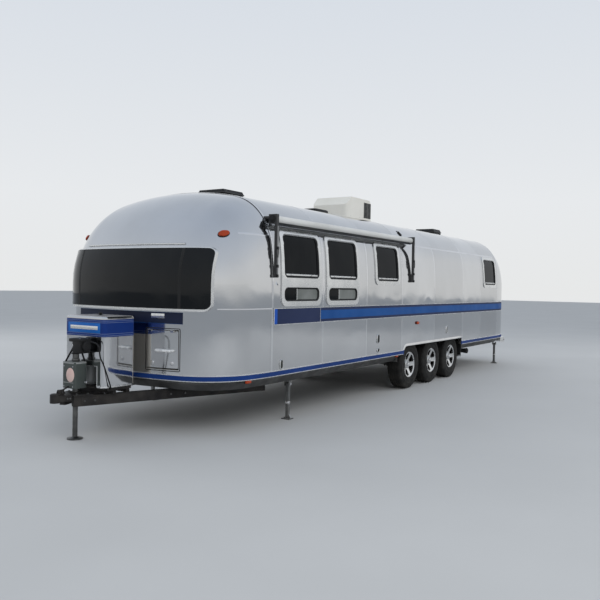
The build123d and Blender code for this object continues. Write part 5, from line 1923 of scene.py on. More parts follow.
@dataclass(frozen=True)
class AirConditioner:
    """Shroud details of the roof unit: louvres, a pan edge, a seam and screws."""

    span: Pair = (-0.56, 0.28)
    half: float = 0.3
    top: float = 2.88
    corner: float = 0.05
    rim_z: float = 2.56
    side_x: Pair = (-0.508, -0.285)
    side_z: Pair = (2.592, 2.832)
    side_fins: tuple[float, float, int] = (2.606, 0.0193, 12)
    rear_half: float = 0.225
    rear_z: Pair = (2.6, 2.77)
    rear_fins: tuple[float, float, int] = (2.612, 0.0185, 9)
    screw_x: tuple[float, ...] = (-0.44, -0.15, 0.14)
    screw_z: float = 2.585
    fin_turn: float = 0.7

    def build(self) -> None:
        """Makes the louvred grilles and the rims."""
        dark, fins, rim, screws = (
            Piece(f"roof_unit_{part}") for part in ("openings", "fins", "rim", "screws")
        )
        for side in Side:
            y = side.value * self.half
            low, high = sorted((y - side.value * 0.002, y + side.value * 0.0015))
            (rear, front), (foot, head) = self.side_x, self.side_z
            dark.slab((rear, low, foot), (front, high, head), 0.001)
            first, gap, count = self.side_fins
            for step in range(count):
                tilt = Matrix.Translation((0.0, y, first + gap * step))
                tilt = tilt @ Matrix.Rotation(side.value * self.fin_turn, 4, "X")
                fins.slab((rear + 0.003, -0.001, -0.006), (front - 0.003, 0.001, 0.006), 0.0005, tilt)
            for x in (rear, (rear + front) / 2, front):
                outer = max(high, y + side.value * 0.005)
                fins.slab((x - 0.003, min(low, y), foot), (x + 0.003, outer, head), 0.001)
            for x in self.screw_x:
                screws.dome((Vector((x, y, self.screw_z)), Vector((0, side.value, 0))), 0.006, 0.004, 10)
        x, reach, (foot, head) = self.span[0], self.rear_half, self.rear_z
        dark.slab((x - 0.0015, -reach, foot), (x + 0.002, reach, head), 0.001)
        first, gap, count = self.rear_fins
        for step in range(count):
            tilt = Matrix.Translation((x, 0.0, first + gap * step)) @ Matrix.Rotation(self.fin_turn, 4, "Y")
            fins.slab((-0.001, 0.003 - reach, -0.007), (0.001, reach - 0.003, 0.007), 0.0005, tilt)
        for y in (-reach, -reach / 3, reach / 3, reach):
            fins.slab((x - 0.006, y - 0.004, foot), (x + 0.001, y + 0.004, head), 0.001)
        path = level_ring((self.span[0], -self.half), (self.span[1], self.half), self.corner, self.rim_z)
        for point, _ in path:
            point.z = self.rim_z + max(0.0, 0.01 - abs(point.y) * 0.02)
        rim.sweep(path, even((0.006, -0.002), (0.006, 0.004), (0.003, 0.007)), closed=True)
        rim.slab((-0.47, -0.21, self.top - 0.002), (0.13, -0.19, self.top - 0.0005), 0.0005)
        dark.hang("black_plastic")
        fins.hang("grille_grey", "white_plastic")
        rim.hang("white_plastic")
        screws.hang("bright_steel")


@dataclass(frozen=True)
class RoofVents:
    """Ribs, domes, screws and hinge lugs of the roof vents and the skylight."""

    vents: tuple[tuple[str, float, float, float, float], ...] = (
        ("front", 2.86, 0.4, 0.045, 0.05),
        ("rear", -3.61, 0.4, 0.07, 0.065),
    )
    roof_z: float = 2.54
    skylight: tuple[float, float, float] = (0.8, 0.42, 0.075)

    def build(self) -> None:
        """Makes what sits on the lids and their bases."""
        lugs, screws = Piece("roof_vent_lugs"), Piece("roof_vent_screws")
        for name, x, width, base, rise in self.vents:
            ribs = Piece(f"vent_lid_{name}_ribs")
            low_z = self.roof_z + base + 0.0055
            top_half = width / 2 + 0.01 - (rise - 0.0055) * math.tan(math.radians(30)) - 0.012
            top_z = self.roof_z + base + rise
            for step in range(-3, 4):
                y = top_half * step / 3.6
                ribs.slab(
                    (x - top_half + 0.02, y - 0.006, top_z - 0.002),
                    (x + top_half - 0.02, y + 0.006, top_z + 0.004), 0.002,
                )
            half = width / 2 + 0.008
            flat = rounded_loop((x - half, -half), (x + half, half), 0.03)
            path = [(Vector((a, b, low_z + 0.004)), Vector((0, 0, 1))) for a, b in flat]
            ribs.sweep(path, even((0.003, -0.003), (0.003, 0.003)), closed=True)
            ribs.hang("smoked_plastic", "black_plastic", body=f"vent_lid_{name}")
            axis_x = x + width / 2 + 0.01
            for y in (-0.07, 0.07):
                lugs.slab(
                    (axis_x - 0.0125, y - 0.006, self.roof_z + base - 0.028),
                    (axis_x + 0.005, y + 0.006, low_z + 0.005), 0.0015,
                )
            half = width / 2 + 0.001
            for a, b in rounded_loop((x - half, -half), (x + half, half), 0.03, 1)[::2]:
                out = Vector((math.copysign(1.0, a - x), 0, 0))
                if abs(a - x) <= abs(b):
                    out = Vector((0, math.copysign(1.0, b), 0))
                screws.dome((Vector((a, b, self.roof_z + base - 0.014)), out), 0.005, 0.003, 8)
        x, width, rise = self.skylight
        dome = Piece("skylight_dome")
        top = width / 2 - (rise + 0.04) * math.tan(math.radians(12))
        flat = rounded_loop((x - top + 0.012, 0.012 - top), (x + top - 0.012, top - 0.012), 0.045)
        path = [(Vector((a, b, self.roof_z + rise)), Vector((0, 0, 1))) for a, b in flat]
        dome.sweep(path, even((0.01, -0.001), (0.008, 0.006)), closed=True)
        dome.slab(
            (x - 0.1, -0.006, self.roof_z + rise - 0.001), (x + 0.1, 0.006, self.roof_z + rise + 0.005),
            0.002,
        )
        dome.hang("smoked_plastic", "black_plastic")
        lugs.hang("black_plastic")
        screws.hang("bright_steel")


@dataclass(frozen=True)
class Wheels:
    """Treaded tyres, rim lips, centre caps, nuts, valves and drums of the six wheels."""

    axle_x: tuple[float, ...] = (-0.227, -1.075, -1.922)
    middle_y: float = 1.0505
    centre_z: float = 0.36
    columns: int = 150
    pitch: int = 5
    shoulder: float = 0.3545
    wall_top: float = 0.337
    rib_edge: float = 0.0595
    half_profile: Flat = (
        (0.0, 0.3598), (0.0135, 0.3596), (0.0145, 0.352), (0.0225, 0.3518), (0.0235, 0.3592), (0.05, 0.3584),
        (0.051, 0.351), (0.059, 0.3506), (0.06, 0.3578), (0.076, 0.3565), (0.086, 0.354), (0.093, 0.349),
        (0.0985, 0.34), (0.103, 0.326), (0.107, 0.308), (0.1095, 0.288), (0.1106, 0.286), (0.111, 0.27),
        (0.1102, 0.268), (0.11, 0.242), (0.1106, 0.24), (0.1095, 0.226), (0.107, 0.212), (0.1085, 0.208),
        (0.107, 0.201), (0.1, 0.1975), (0.096, 0.193),
    )

    def build(self) -> None:
        """Makes the parts of each wheel on the wheel's own body."""
        for side in Side:
            name = side.name.lower()
            for row, x in enumerate(self.axle_x, start=1):
                place = facing((x, side.value * self.middle_y, self.centre_z), (0.0, side.value, 0.0))
                body = f"wheel_{name}_{row}"
                tyre = Piece(f"tread_{name}_{row}")
                self.tyre(tyre, place)
                tyre.hang("tyre", body=body, replaces=(f"tyre_{name}_{row}",), sharp=28.0)
                bright = Piece(f"rim_brights_{name}_{row}")
                self.brights(bright, place)
                bright.hang("bright_steel", body=body)
                dark = Piece(f"drum_{name}_{row}")
                self.drum(dark, place)
                dark.hang("brake_grey", "black_steel", body=body)

    def tyre(self, piece: Piece, place: Matrix) -> None:
        """Adds one tyre: its section round the wheel, with cross cuts in the tread.

        Args:
            piece: what it is added to.
            place: the wheel's middle, with Z along the axle.
        """
        outer = [(-y, r) for y, r in reversed(self.half_profile[1:])] + list(self.half_profile)
        part = bmesh.new()
        rings = []
        for column, (c, s) in enumerate(circle(self.columns)):
            ring = []
            for across, radius in outer:
                deep = radius - self.cut(across, radius, column)
                ring.append(part.verts.new(place @ Vector((deep * c, deep * s, across))))
            rings.append(ring)
        bridge(part, rings, looped=True)
        piece.take(part)

    def cut(self, across: float, radius: float, column: int) -> float:
        """How deep the tread is cut at one place.

        Args:
            across: the distance from the tyre's middle.
            radius: the place's radius.
            column: the place's number round the tyre.

        Returns:
            The depth, in metres.
        """
        if radius > self.shoulder and abs(across) > self.rib_edge:
            return 0.0065 if column % self.pitch == 0 else 0.0
        if radius > self.wall_top and abs(across) > self.rib_edge:
            return 0.0045 if column % self.pitch == 0 else 0.0
        if radius > self.shoulder and column % self.pitch == (2 if across > 0.0 else 3) and abs(across) > 0.0:
            return 0.003
        return 0.0

    def brights(self, piece: Piece, place: Matrix) -> None:
        """Adds the rim's rolled lip, the centre cap and the nuts.

        Args:
            piece: what they are added to.
            place: the wheel's middle, with Z along the axle.
        """
        lip = (
            (0.093, 0.1822), (0.0965, 0.1815), (0.0995, 0.1835), (0.1005, 0.1868), (0.099, 0.1898),
            (0.0955, 0.191),
        )
        piece.lathe(lip, place, 72)
        cap = (
            (0.0715, 0.033), (0.076, 0.033), (0.079, 0.0318), (0.09, 0.03), (0.0935, 0.028),
            (0.0955, 0.022), (0.0962, 0.014), (0.0968, 0.013), (0.096, 0.012), (0.0964, 0.0),
        )
        piece.lathe(cap, place, 40)
        for step in range(6):
            turn = math.pi * (step + 0.5) / 3
            spot = place @ Matrix.Translation((0.0465 * math.cos(turn), 0.0465 * math.sin(turn), 0.0))
            piece.lathe(
                (
                    (0.071, 0.0098), (0.0735, 0.0098), (0.075, 0.008), (0.086, 0.0078), (0.0895, 0.0062),
                    (0.09, 0.0),
                ),
                spot, 6,
            )

    def drum(self, piece: Piece, place: Matrix) -> None:
        """Adds the dark drum face, a near-black sleeve inside the barrel, and the valve.

        Args:
            piece: what they are added to.
            place: the wheel's middle, with Z along the axle.
        """
        face = (
            (-0.0785, 0.1406), (-0.011, 0.1406), (-0.0072, 0.137), (-0.0062, 0.12), (-0.0045, 0.119),
            (-0.0045, 0.08), (-0.0062, 0.079), (-0.0062, 0.053),
        )
        piece.lathe(face, place, 48)
        # A near-black sleeve lines the inside of the rim's barrel, darker than the alloy.
        piece.lathe(((-0.094, 0.1812), (0.052, 0.1812)), place, 60)
        for step in range(10):
            turn = math.pi * (step + 0.5) / 5
            low = Vector((0.1 * math.cos(turn), 0.1 * math.sin(turn), -0.005))
            piece.stud(place @ Matrix.Translation(low), (0.006, 0.004), (0.004, 0.005), 8)
        valve = ((0.166, 0.06, 0.08), (0.16, 0.058, 0.094), (0.156, 0.0565, 0.1045))
        piece.tube(tuple(place @ Vector(point) for point in valve), 0.0038, 10)


@dataclass(frozen=True)
class Underside:
    """Laps and rivets of the belly pan, gas pipe, axle hangers, bolts and caps."""

    pan_z: float = 0.44
    lap_x: tuple[float, ...] = (3.35, 2.15, 0.95, -0.25, -1.45, -2.65, -3.85, -4.55)
    pan_half: float = 0.815
    tube_x: tuple[float, ...] = (-0.077, -0.925, -1.772)
    rail_y: float = 0.855
    tube_z: Pair = (0.354, 0.43)
    pipe_y: float = -0.79
    clip_x: tuple[float, ...] = (3.9, 3.0, 2.1, 1.2, 0.4, -0.5, -1.35, -2.3)
    cap: Pair = (0.925, 0.392)
    route: tuple[Point, ...] = (
        (4.47, -0.2, 0.462),
        (4.3, -0.32, 0.462),
        (4.2, -0.79, 0.4265),
        (-2.9, -0.79, 0.4265),
        (-3.0, -0.74, 0.446),
    )

    def build(self) -> None:
        """Makes what can be seen below the floor."""
        laps, rivets, steel, pipe = (
            Piece(f"underside_{part}") for part in ("laps", "rivets", "hangers", "pipe")
        )
        down = Vector((0.0, 0.0, -1.0))
        for x in self.lap_x:
            laps.slab(
                (x - 0.022, -self.pan_half, self.pan_z - 0.002),
                (x + 0.022, self.pan_half, self.pan_z + 0.001), 0.0008,
            )
            line = [
                (Vector((x, y, self.pan_z - 0.002)), down)
                for y in (-self.pan_half + 0.02, self.pan_half - 0.02)
            ]
            for spot in spaced(line, 0.06):
                rivets.dome(spot, 0.004, 0.002)
        for x in self.tube_x:
            for side in Side:
                y = side.value * self.rail_y
                low_z, high_z = self.tube_z
                for edge in (-0.05, 0.042):
                    steel.slab(
                        (x + edge, y - 0.032, low_z + 0.012), (x + edge + 0.008, y + 0.032, high_z + 0.045),
                        0.002,
                    )
                steel.slab((x - 0.058, y - 0.034, low_z - 0.008), (x + 0.058, y + 0.034, low_z), 0.002)
                for dx in (-0.046, 0.046):
                    for dy in (-0.022, 0.022):
                        nut = facing((x + dx, y + dy, low_z - 0.008), (0.0, 0.0, -1.0))
                        steel.lathe(
                            ((0.0, 0.0085), (0.007, 0.0085), (0.0085, 0.007), (0.012, 0.0045), (0.012, 0.0)),
                            nut, 6,
                        )
                cap = facing((x, side.value * self.cap[0], self.cap[1]), (0.0, side.value, 0.0))
                steel.lathe(
                    (
                        (-0.002, 0.03), (0.006, 0.03), (0.009, 0.026), (0.009, 0.012), (0.012, 0.01),
                        (0.012, 0.0),
                    ),
                    cap, 24,
                )
        pipe.tube(self.route, 0.0065, 12)
        for x in self.clip_x:
            pipe.slab(
                (x - 0.008, self.pipe_y - 0.018, 0.4175), (x + 0.008, self.pipe_y + 0.018, 0.4405), 0.0015
            )
        # The belly pan's laps share its near-black colour, painted shade under the floor.
        laps.hang("lacquered_aluminium")
        rivets.hang("rivet_head", "lacquered_aluminium", sharp=80.0)
        steel.hang("black_steel")
        pipe.hang("galvanised")


@dataclass(frozen=True)
class DrawbarGear:
    """Bolts, gussets, lips and the coupler's latch on the drawbar."""

    front: Pair = (5.09, 0.075)
    rear: Pair = (3.1, 0.855)
    beam: float = 0.06
    low_z: float = 0.33
    socket_x: float = 5.234
    rack_x: Pair = (4.502, 4.905)
    rack_half: float = 0.281
    rack_z: float = 0.496
    gussets: Flat = ((0.93, 0.16), (0.5, 0.22))
    weld: Flat = ((4.935, 0.166), (5.105, 0.1175))
    nose_bolts: Flat = ((4.965, 0.135), (5.065, 0.1), (4.965, -0.135), (5.065, -0.1))
    nose_z: float = 0.44

    def build(self) -> None:
        """Makes the black steel parts and the bright bolts."""
        steel, bolts = Piece("drawbar_gear"), Piece("drawbar_bolts")
        run = Vector((self.front[0] - self.rear[0], self.front[1] - self.rear[1], 0.0)).normalized()
        for side in Side:
            ahead = Vector((run.x, side.value * run.y, 0.0))
            out = Vector((-side.value * ahead.y, side.value * ahead.x, 0.0))
            out = out if out.y * side.value > 0.0 else -out
            for share, length in self.gussets:
                rear, front = (Vector((x, side.value * y, 0.0)) for x, y in (self.rear, self.front))
                middle = rear.lerp(front, share)
                foot = middle + out * (self.beam / 2) + Vector((0.0, 0.0, self.low_z + 0.018))
                low, high, up = foot - ahead * length / 2, foot + ahead * length / 2, Vector((0, 0, 0.064))
                steel.plate([low, high, high + up, low + up], out, 0.006, 0.0015)
                for dx in (-length / 2 + 0.03, length / 2 - 0.03):
                    point = middle + ahead * dx + out * (self.beam / 2 + 0.006) + Vector((0.0, 0.0, 0.38))
                    bolts.nut(facing(point, out), 0.011, (0.0092, 0.009), (0.007, 0.0105))
            line = [(Vector((x, side.value * y, self.nose_z)), Vector((0, 0, 1))) for x, y in self.weld]
            for spot in spaced(line, 0.009):
                steel.dome(spot, 0.0055, 0.003, 8)
        for x, y in self.nose_bolts:
            bolts.nut(Matrix.Translation((x, y, self.nose_z)), 0.013, (0.0105, 0.01), (0.008, 0.012))
        steel.lathe(
            ((0.0, 0.052), (0.012, 0.052), (0.016, 0.048), (0.016, 0.0302)),
            Matrix.Translation((5.0, 0.0, 0.4405)), 36,
        )
        low_x, high_x = self.rack_x
        for y in (-self.rack_half, self.rack_half - 0.006):
            steel.slab(
                (low_x + 0.05, y, self.rack_z - 0.03), (high_x - 0.05, y + 0.006, self.rack_z - 0.006),
                0.0015,
            )
        self.latch(steel, bolts)
        steel.hang("black_steel")
        bolts.hang("jack_zinc", "bright_steel")

    def latch(self, steel: Piece, bolts: Piece) -> None:
        """Adds the coupler's lever, its pin and the rim of its socket.

        Args:
            steel: the black parts.
            bolts: the bright parts.
        """
        for y in (-0.0165, 0.0135):
            outline = [
                Vector((5.128, y, 0.452)), Vector((5.212, y, 0.452)), Vector((5.198, y, 0.486)),
                Vector((5.15, y, 0.491)),
            ]
            steel.plate(outline, Vector((0, 1, 0)), 0.003, 0.0008)
        steel.tube(((5.15, 0.0, 0.486), (5.085, 0.0, 0.512), (5.055, 0.0, 0.508)), 0.008, 14)
        bolts.lathe(
            ((-0.024, 0.0), (-0.024, 0.007), (0.024, 0.007), (0.024, 0.0)),
            facing((5.172, 0.0, 0.472), (0, 1, 0)), 16,
        )
        steel.lathe(
            (
                (0.0, 0.0452), (0.003, 0.0459), (0.006, 0.0452), (0.007, 0.04), (0.012, 0.034),
                (0.0135, 0.02), (0.014, 0.0),
            ),
            Matrix.Translation((self.socket_x, 0.0, 0.4495)), 40,
        )
        for x in (5.128, 5.15):
            for side in Side:
                spot = facing((x, side.value * (0.0905 - (x - 5.111) * 0.42), 0.412), (0.42, side.value, 0.0))
                bolts.stud(spot, (0.0095, 0.006), (0.0075, 0.0075), 6)


@dataclass(frozen=True)
class Jack:
    """The powered head with its motor and arms, the housing's lid and disc, and the leg's collar."""

    x: float = 5.0
    head: tuple[Point, Point] = ((4.94, -0.06, 0.83), (5.07, 0.17, 0.975))
    housing: tuple[Point, Point] = ((4.938, -0.092, 0.496), (5.084, 0.092, 0.745))
    collars: tuple[Flat, Flat] = (
        ((0.326, 0.0262), (0.326, 0.034), (0.33, 0.036), (0.345, 0.036), (0.349, 0.0305)),
        ((0.752, 0.0305), (0.752, 0.037), (0.76, 0.039), (0.772, 0.037), (0.776, 0.0305)),
    )
    arms: tuple[tuple[Point, Point], ...] = (
        ((5.045, 0.026, 0.895), (5.052, -0.083, 0.744)),
        ((4.962, 0.03, 0.85), (4.952, 0.074, 0.744)),
    )

    def build(self) -> None:
        """Makes the parts on the jack."""
        self.powered_head()
        self.box()
        leg = Piece("jack_foot_parts")
        axis = Matrix.Translation((self.x, 0.0, 0.0))
        leg.lathe(
            ((0.012, 0.073), (0.0135, 0.071), (0.015, 0.042), (0.02, 0.034), (0.0245, 0.0243)), axis, 40
        )
        leg.hang("jack_zinc", "bright_steel", body="jack_leg")
        collar = Piece("jack_collar")
        for profile in self.collars:
            collar.lathe(profile, axis, 40)
        collar.hang("jack_zinc", "bright_steel")

    def powered_head(self) -> None:
        """Makes the head as a stepped casing with a ribbed motor, a lid, a switch and two arms."""
        casing, bright = Piece("jack_head_casing"), Piece("jack_head_brights")
        (low_x, low_y, low_z), (high_x, high_y, high_z) = self.head
        casing.slab(
            (low_x + 0.004, low_y + 0.078, low_z), (high_x - 0.004, high_y - 0.03, high_z - 0.016), 0.016
        )
        casing.slab((low_x, low_y + 0.038, high_z - 0.036), (high_x, high_y - 0.022, high_z - 0.003), 0.009)
        casing.slab(
            (low_x + 0.02, low_y + 0.07, high_z - 0.006), (high_x - 0.02, high_y - 0.06, high_z), 0.0025
        )
        motor = facing((self.x + 0.005, high_y - 0.034, low_z + 0.068), (0.0, 1.0, 0.0))
        profile = [(0.0, 0.05)]
        for start in (0.003 + 0.006 * rib for rib in range(4)):
            profile += [(start, 0.0505), (start + 0.002, 0.0505)]
            profile += [(start + 0.0025, 0.047), (start + 0.0055, 0.047)]
        profile += [(0.029, 0.047), (0.0325, 0.042), (0.034, 0.03), (0.034, 0.0)]
        casing.lathe(tuple(profile), motor, 40)
        casing.lathe(
            ((-0.012, 0.04), (-0.004, 0.044), (0.0, 0.044), (0.0, 0.034)),
            Matrix.Translation((self.x, 0.0, low_z)), 36,
        )
        for arm in self.arms:
            casing.tube(arm, 0.0085, 12)
        casing.stud(facing((4.975, 0.1365, 0.94), (0, 1, 0)), (0.0105, 0.014), (0.008, 0.018), 20)
        bright.stud(facing((high_x - 0.005, 0.03, 0.905), (1, 0, 0)), (0.011, 0.003), (0.008, 0.004), 24)
        bright.tube(((high_x - 0.004, 0.03, 0.905), (high_x + 0.012, 0.03, 0.914)), 0.0035, 10)
        for y in (low_y + 0.056, high_y - 0.05):
            for x in (low_x + 0.018, high_x - 0.018):
                bright.stud(Matrix.Translation((x, y, high_z - 0.0035)), (0.006, 0.003), (0.004, 0.004), 6)
        casing.hang("black_plastic", replaces=("jack_head",))
        bright.hang("bright_steel")

    def box(self) -> None:
        """Makes the housing's pale lid edge, plain disc, latch, seam and screws."""
        lid, disc, brights = Piece("housing_lid"), Piece("housing_disc"), Piece("housing_brights")
        (low_x, low_y, low_z), (high_x, high_y, high_z) = self.housing
        for low, high in ((low_y - 0.003, low_y), (high_y, high_y + 0.003)):
            lid.slab((low_x + 0.012, low, high_z - 0.014), (high_x - 0.012, high, high_z - 0.003), 0.001)
        lid.slab(
            (high_x - 0.001, low_y + 0.018, high_z - 0.014),
            (high_x + 0.003, high_y - 0.018, high_z - 0.003), 0.001,
        )
        loop = rounded_loop((low_x + 0.008, low_y + 0.008), (high_x - 0.008, high_y - 0.008), 0.018)
        path = [(Vector((a, b, high_z)), Vector((0, 0, 1))) for a, b in loop]
        lid.sweep(path, even((0.006, -0.001), (0.005, 0.003)), closed=True)
        lid.slab(
            (high_x - 0.001, low_y + 0.022, low_z + 0.052),
            (high_x + 0.0025, high_y - 0.022, low_z + 0.058), 0.001,
        )
        oval = facing((high_x, 0.026, 0.624), (1, 0, 0)) @ Matrix.Diagonal((0.056, 0.067, 1.0, 1.0))
        disc.lathe(((0.0, 0.0), (0.0, 1.0), (0.0015, 1.0), (0.0022, 0.98), (0.0022, 0.0)), oval, 48)
        brights.lathe(
            (
                (0.0, 0.01), (0.004, 0.01), (0.006, 0.006), (0.016, 0.006), (0.019, 0.011), (0.024, 0.012),
                (0.028, 0.008), (0.028, 0.0),
            ),
            facing((low_x + 0.025, high_y, 0.548), (0, 1, 0)), 24,
        )
        for z in (low_z + 0.018, high_z - 0.04):
            for y in (low_y + 0.03, high_y - 0.03):
                brights.stud(facing((high_x, y, z), (1, 0, 0)), (0.006, 0.002), (0.004, 0.0035), 12)
        lid.hang("housing_edge", "grey_plastic")
        disc.hang("housing_disc", "white_plastic")
        brights.hang("bright_steel")


@dataclass(frozen=True)
class GasSet:
    """The blue band round the gas cover, its painted lid and seams, and the bottles' valves and rings."""

    span: Pair = (4.502, 4.905)
    half: float = 0.281
    top: float = 1.179
    low: float = 0.496
    corner: float = 0.045
    band: Pair = (0.985, 1.15)
    bottle_x: float = 4.7035
    bottle_y: float = 0.132

    def ring(self, z: float) -> Path:
        """The level line round the cover's walls at one height."""
        return level_ring((self.span[0], -self.half), (self.span[1], self.half), self.corner, z, 10)

    def build(self) -> None:
        """Makes the cover's trim and what shows of the bottles."""
        half = (self.band[1] - self.band[0]) / 2
        middle = (self.band[1] + self.band[0]) / 2
        band = Piece("cover_band")
        band.sweep(
            self.ring(middle), even((half, -0.001), (half, 0.001), (half - 0.001, 0.0018)), closed=True
        )
        band.hang("cover_blue", "blue_insert")
        lines = Piece("cover_lines")
        for z in (self.band[0] + 0.012, self.band[0] + 0.03, self.band[1] - 0.012, self.band[1] - 0.028):
            lines.sweep(self.ring(z), even((0.0014, 0.001), (0.0014, 0.0026)), closed=True)
        lines.hang("pale_line", "white_plastic")
        field = Piece("cover_front_field")
        face_x = self.span[1]
        field.slab(
            (face_x, -self.half + 0.052, self.band[0] + 0.034),
            (face_x + 0.0024, self.half - 0.052, self.band[1] - 0.034), 0.0006,
        )
        field.hang("cover_light_blue", "blue_insert")
        plate = Piece("cover_plate")
        plate.slab((face_x + 0.001, -0.195, middle - 0.017), (face_x + 0.0045, 0.195, middle + 0.019), 0.0012)
        plate.hang("trim_aluminium")
        self.lid()
        self.bottles()

    def lid(self) -> None:
        """Makes the painted lid's joint, its hold-down knob, the rivets and the rolled foot."""
        joint, knob, rivets = Piece("cover_lid"), Piece("cover_knob"), Piece("cover_rivets")
        top_loop = rounded_loop(
            (self.span[0] + 0.03, 0.03 - self.half), (self.span[1] - 0.03, self.half - 0.03), 0.02
        )
        rows = [Vector((a, b, self.top)) for a, b in top_loop]
        joint.plate(rows, Vector((0, 0, 1)), 0.0022, 0.001)
        joint.sweep(self.ring(self.top - 0.0255), even((0.003, -0.001), (0.002, 0.002)), closed=True)
        joint.hang("cover_top", "lacquered_aluminium")
        knob.lathe(
            (
                (0.0, 0.03), (0.003, 0.03), (0.005, 0.022), (0.007, 0.012), (0.014, 0.011), (0.016, 0.02),
                (0.024, 0.022), (0.028, 0.016), (0.028, 0.0),
            ),
            Matrix.Translation((self.bottle_x, 0.0, self.top + 0.002)), 24,
        )
        knob.hang("black_plastic")
        foot = Piece("cover_foot")
        ring = self.ring(self.low + 0.008)
        kept = [spot for spot in ring if not (spot[0].x > self.span[1] - 0.002 and abs(spot[0].y) < 0.195)]
        start = next(
            index for index, (point, _) in enumerate(kept) if point.x > self.span[1] - 0.01 and point.y > 0.0
        )
        kept = kept[start:] + kept[:start]
        foot.sweep(kept, ((-0.008, -0.001), (0.008, -0.001), (0.008, 0.002), (0.0, 0.0035), (-0.008, 0.002)))
        cut = (
            (-0.19, self.low + 0.006), (-0.19, self.low + 0.205), (0.19, self.low + 0.205),
            (0.19, self.low + 0.006),
        )
        edge = [(Vector((self.span[1] - 0.001, y, z)), Vector((1, 0, 0))) for y, z in cut]
        foot.sweep(edge, ((-0.005, -0.006), (0.003, -0.006), (0.004, 0.002), (0.0, 0.004), (-0.005, 0.002)))
        foot.hang("trim_aluminium")
        for level in (self.band[0] - 0.018, self.low + 0.026):
            for point, out in spaced(self.ring(level), 0.06):
                if not (level < 0.6 and point.x > self.span[1] - 0.003 and abs(point.y) < 0.2):
                    rivets.dome((point, out), 0.0034, 0.0015)
        rivets.hang("rivet_head", "polished_skin", sharp=80.0)

    def bottles(self) -> None:
        """Makes the guard rings, valves and foot rings of both bottles, and the pipe between them."""
        guards, valves = Piece("bottle_guards"), Piece("bottle_valves")
        for y in (-self.bottle_y, self.bottle_y):
            place = Matrix.Translation((self.bottle_x, y, 0.0))
            guards.lathe(
                ((0.995, 0.0805), (1.07, 0.083), (1.076, 0.0815), (1.07, 0.08), (0.995, 0.0775)), place, 40
            )
            guards.lathe(
                ((0.497, 0.1085), (0.497, 0.112), (0.5, 0.113), (0.524, 0.1225), (0.527, 0.1225)), place, 48
            )
            guards.lathe(((0.7, 0.1222), (0.702, 0.1232), (0.706, 0.1232), (0.708, 0.1222)), place, 48)
            valves.lathe(
                (
                    (0.995, 0.024), (1.01, 0.022), (1.02, 0.014), (1.05, 0.014), (1.052, 0.026),
                    (1.062, 0.028), (1.066, 0.022), (1.066, 0.0),
                ),
                place, 20,
            )
        valves.tube(
            (
                (self.bottle_x, -self.bottle_y, 1.035), (self.bottle_x + 0.05, -0.05, 1.045),
                (self.bottle_x + 0.05, 0.05, 1.045), (self.bottle_x, self.bottle_y, 1.035),
            ),
            0.006, 10,
        )
        guards.hang("bottle_paint")
        valves.hang("brass", "bright_steel")


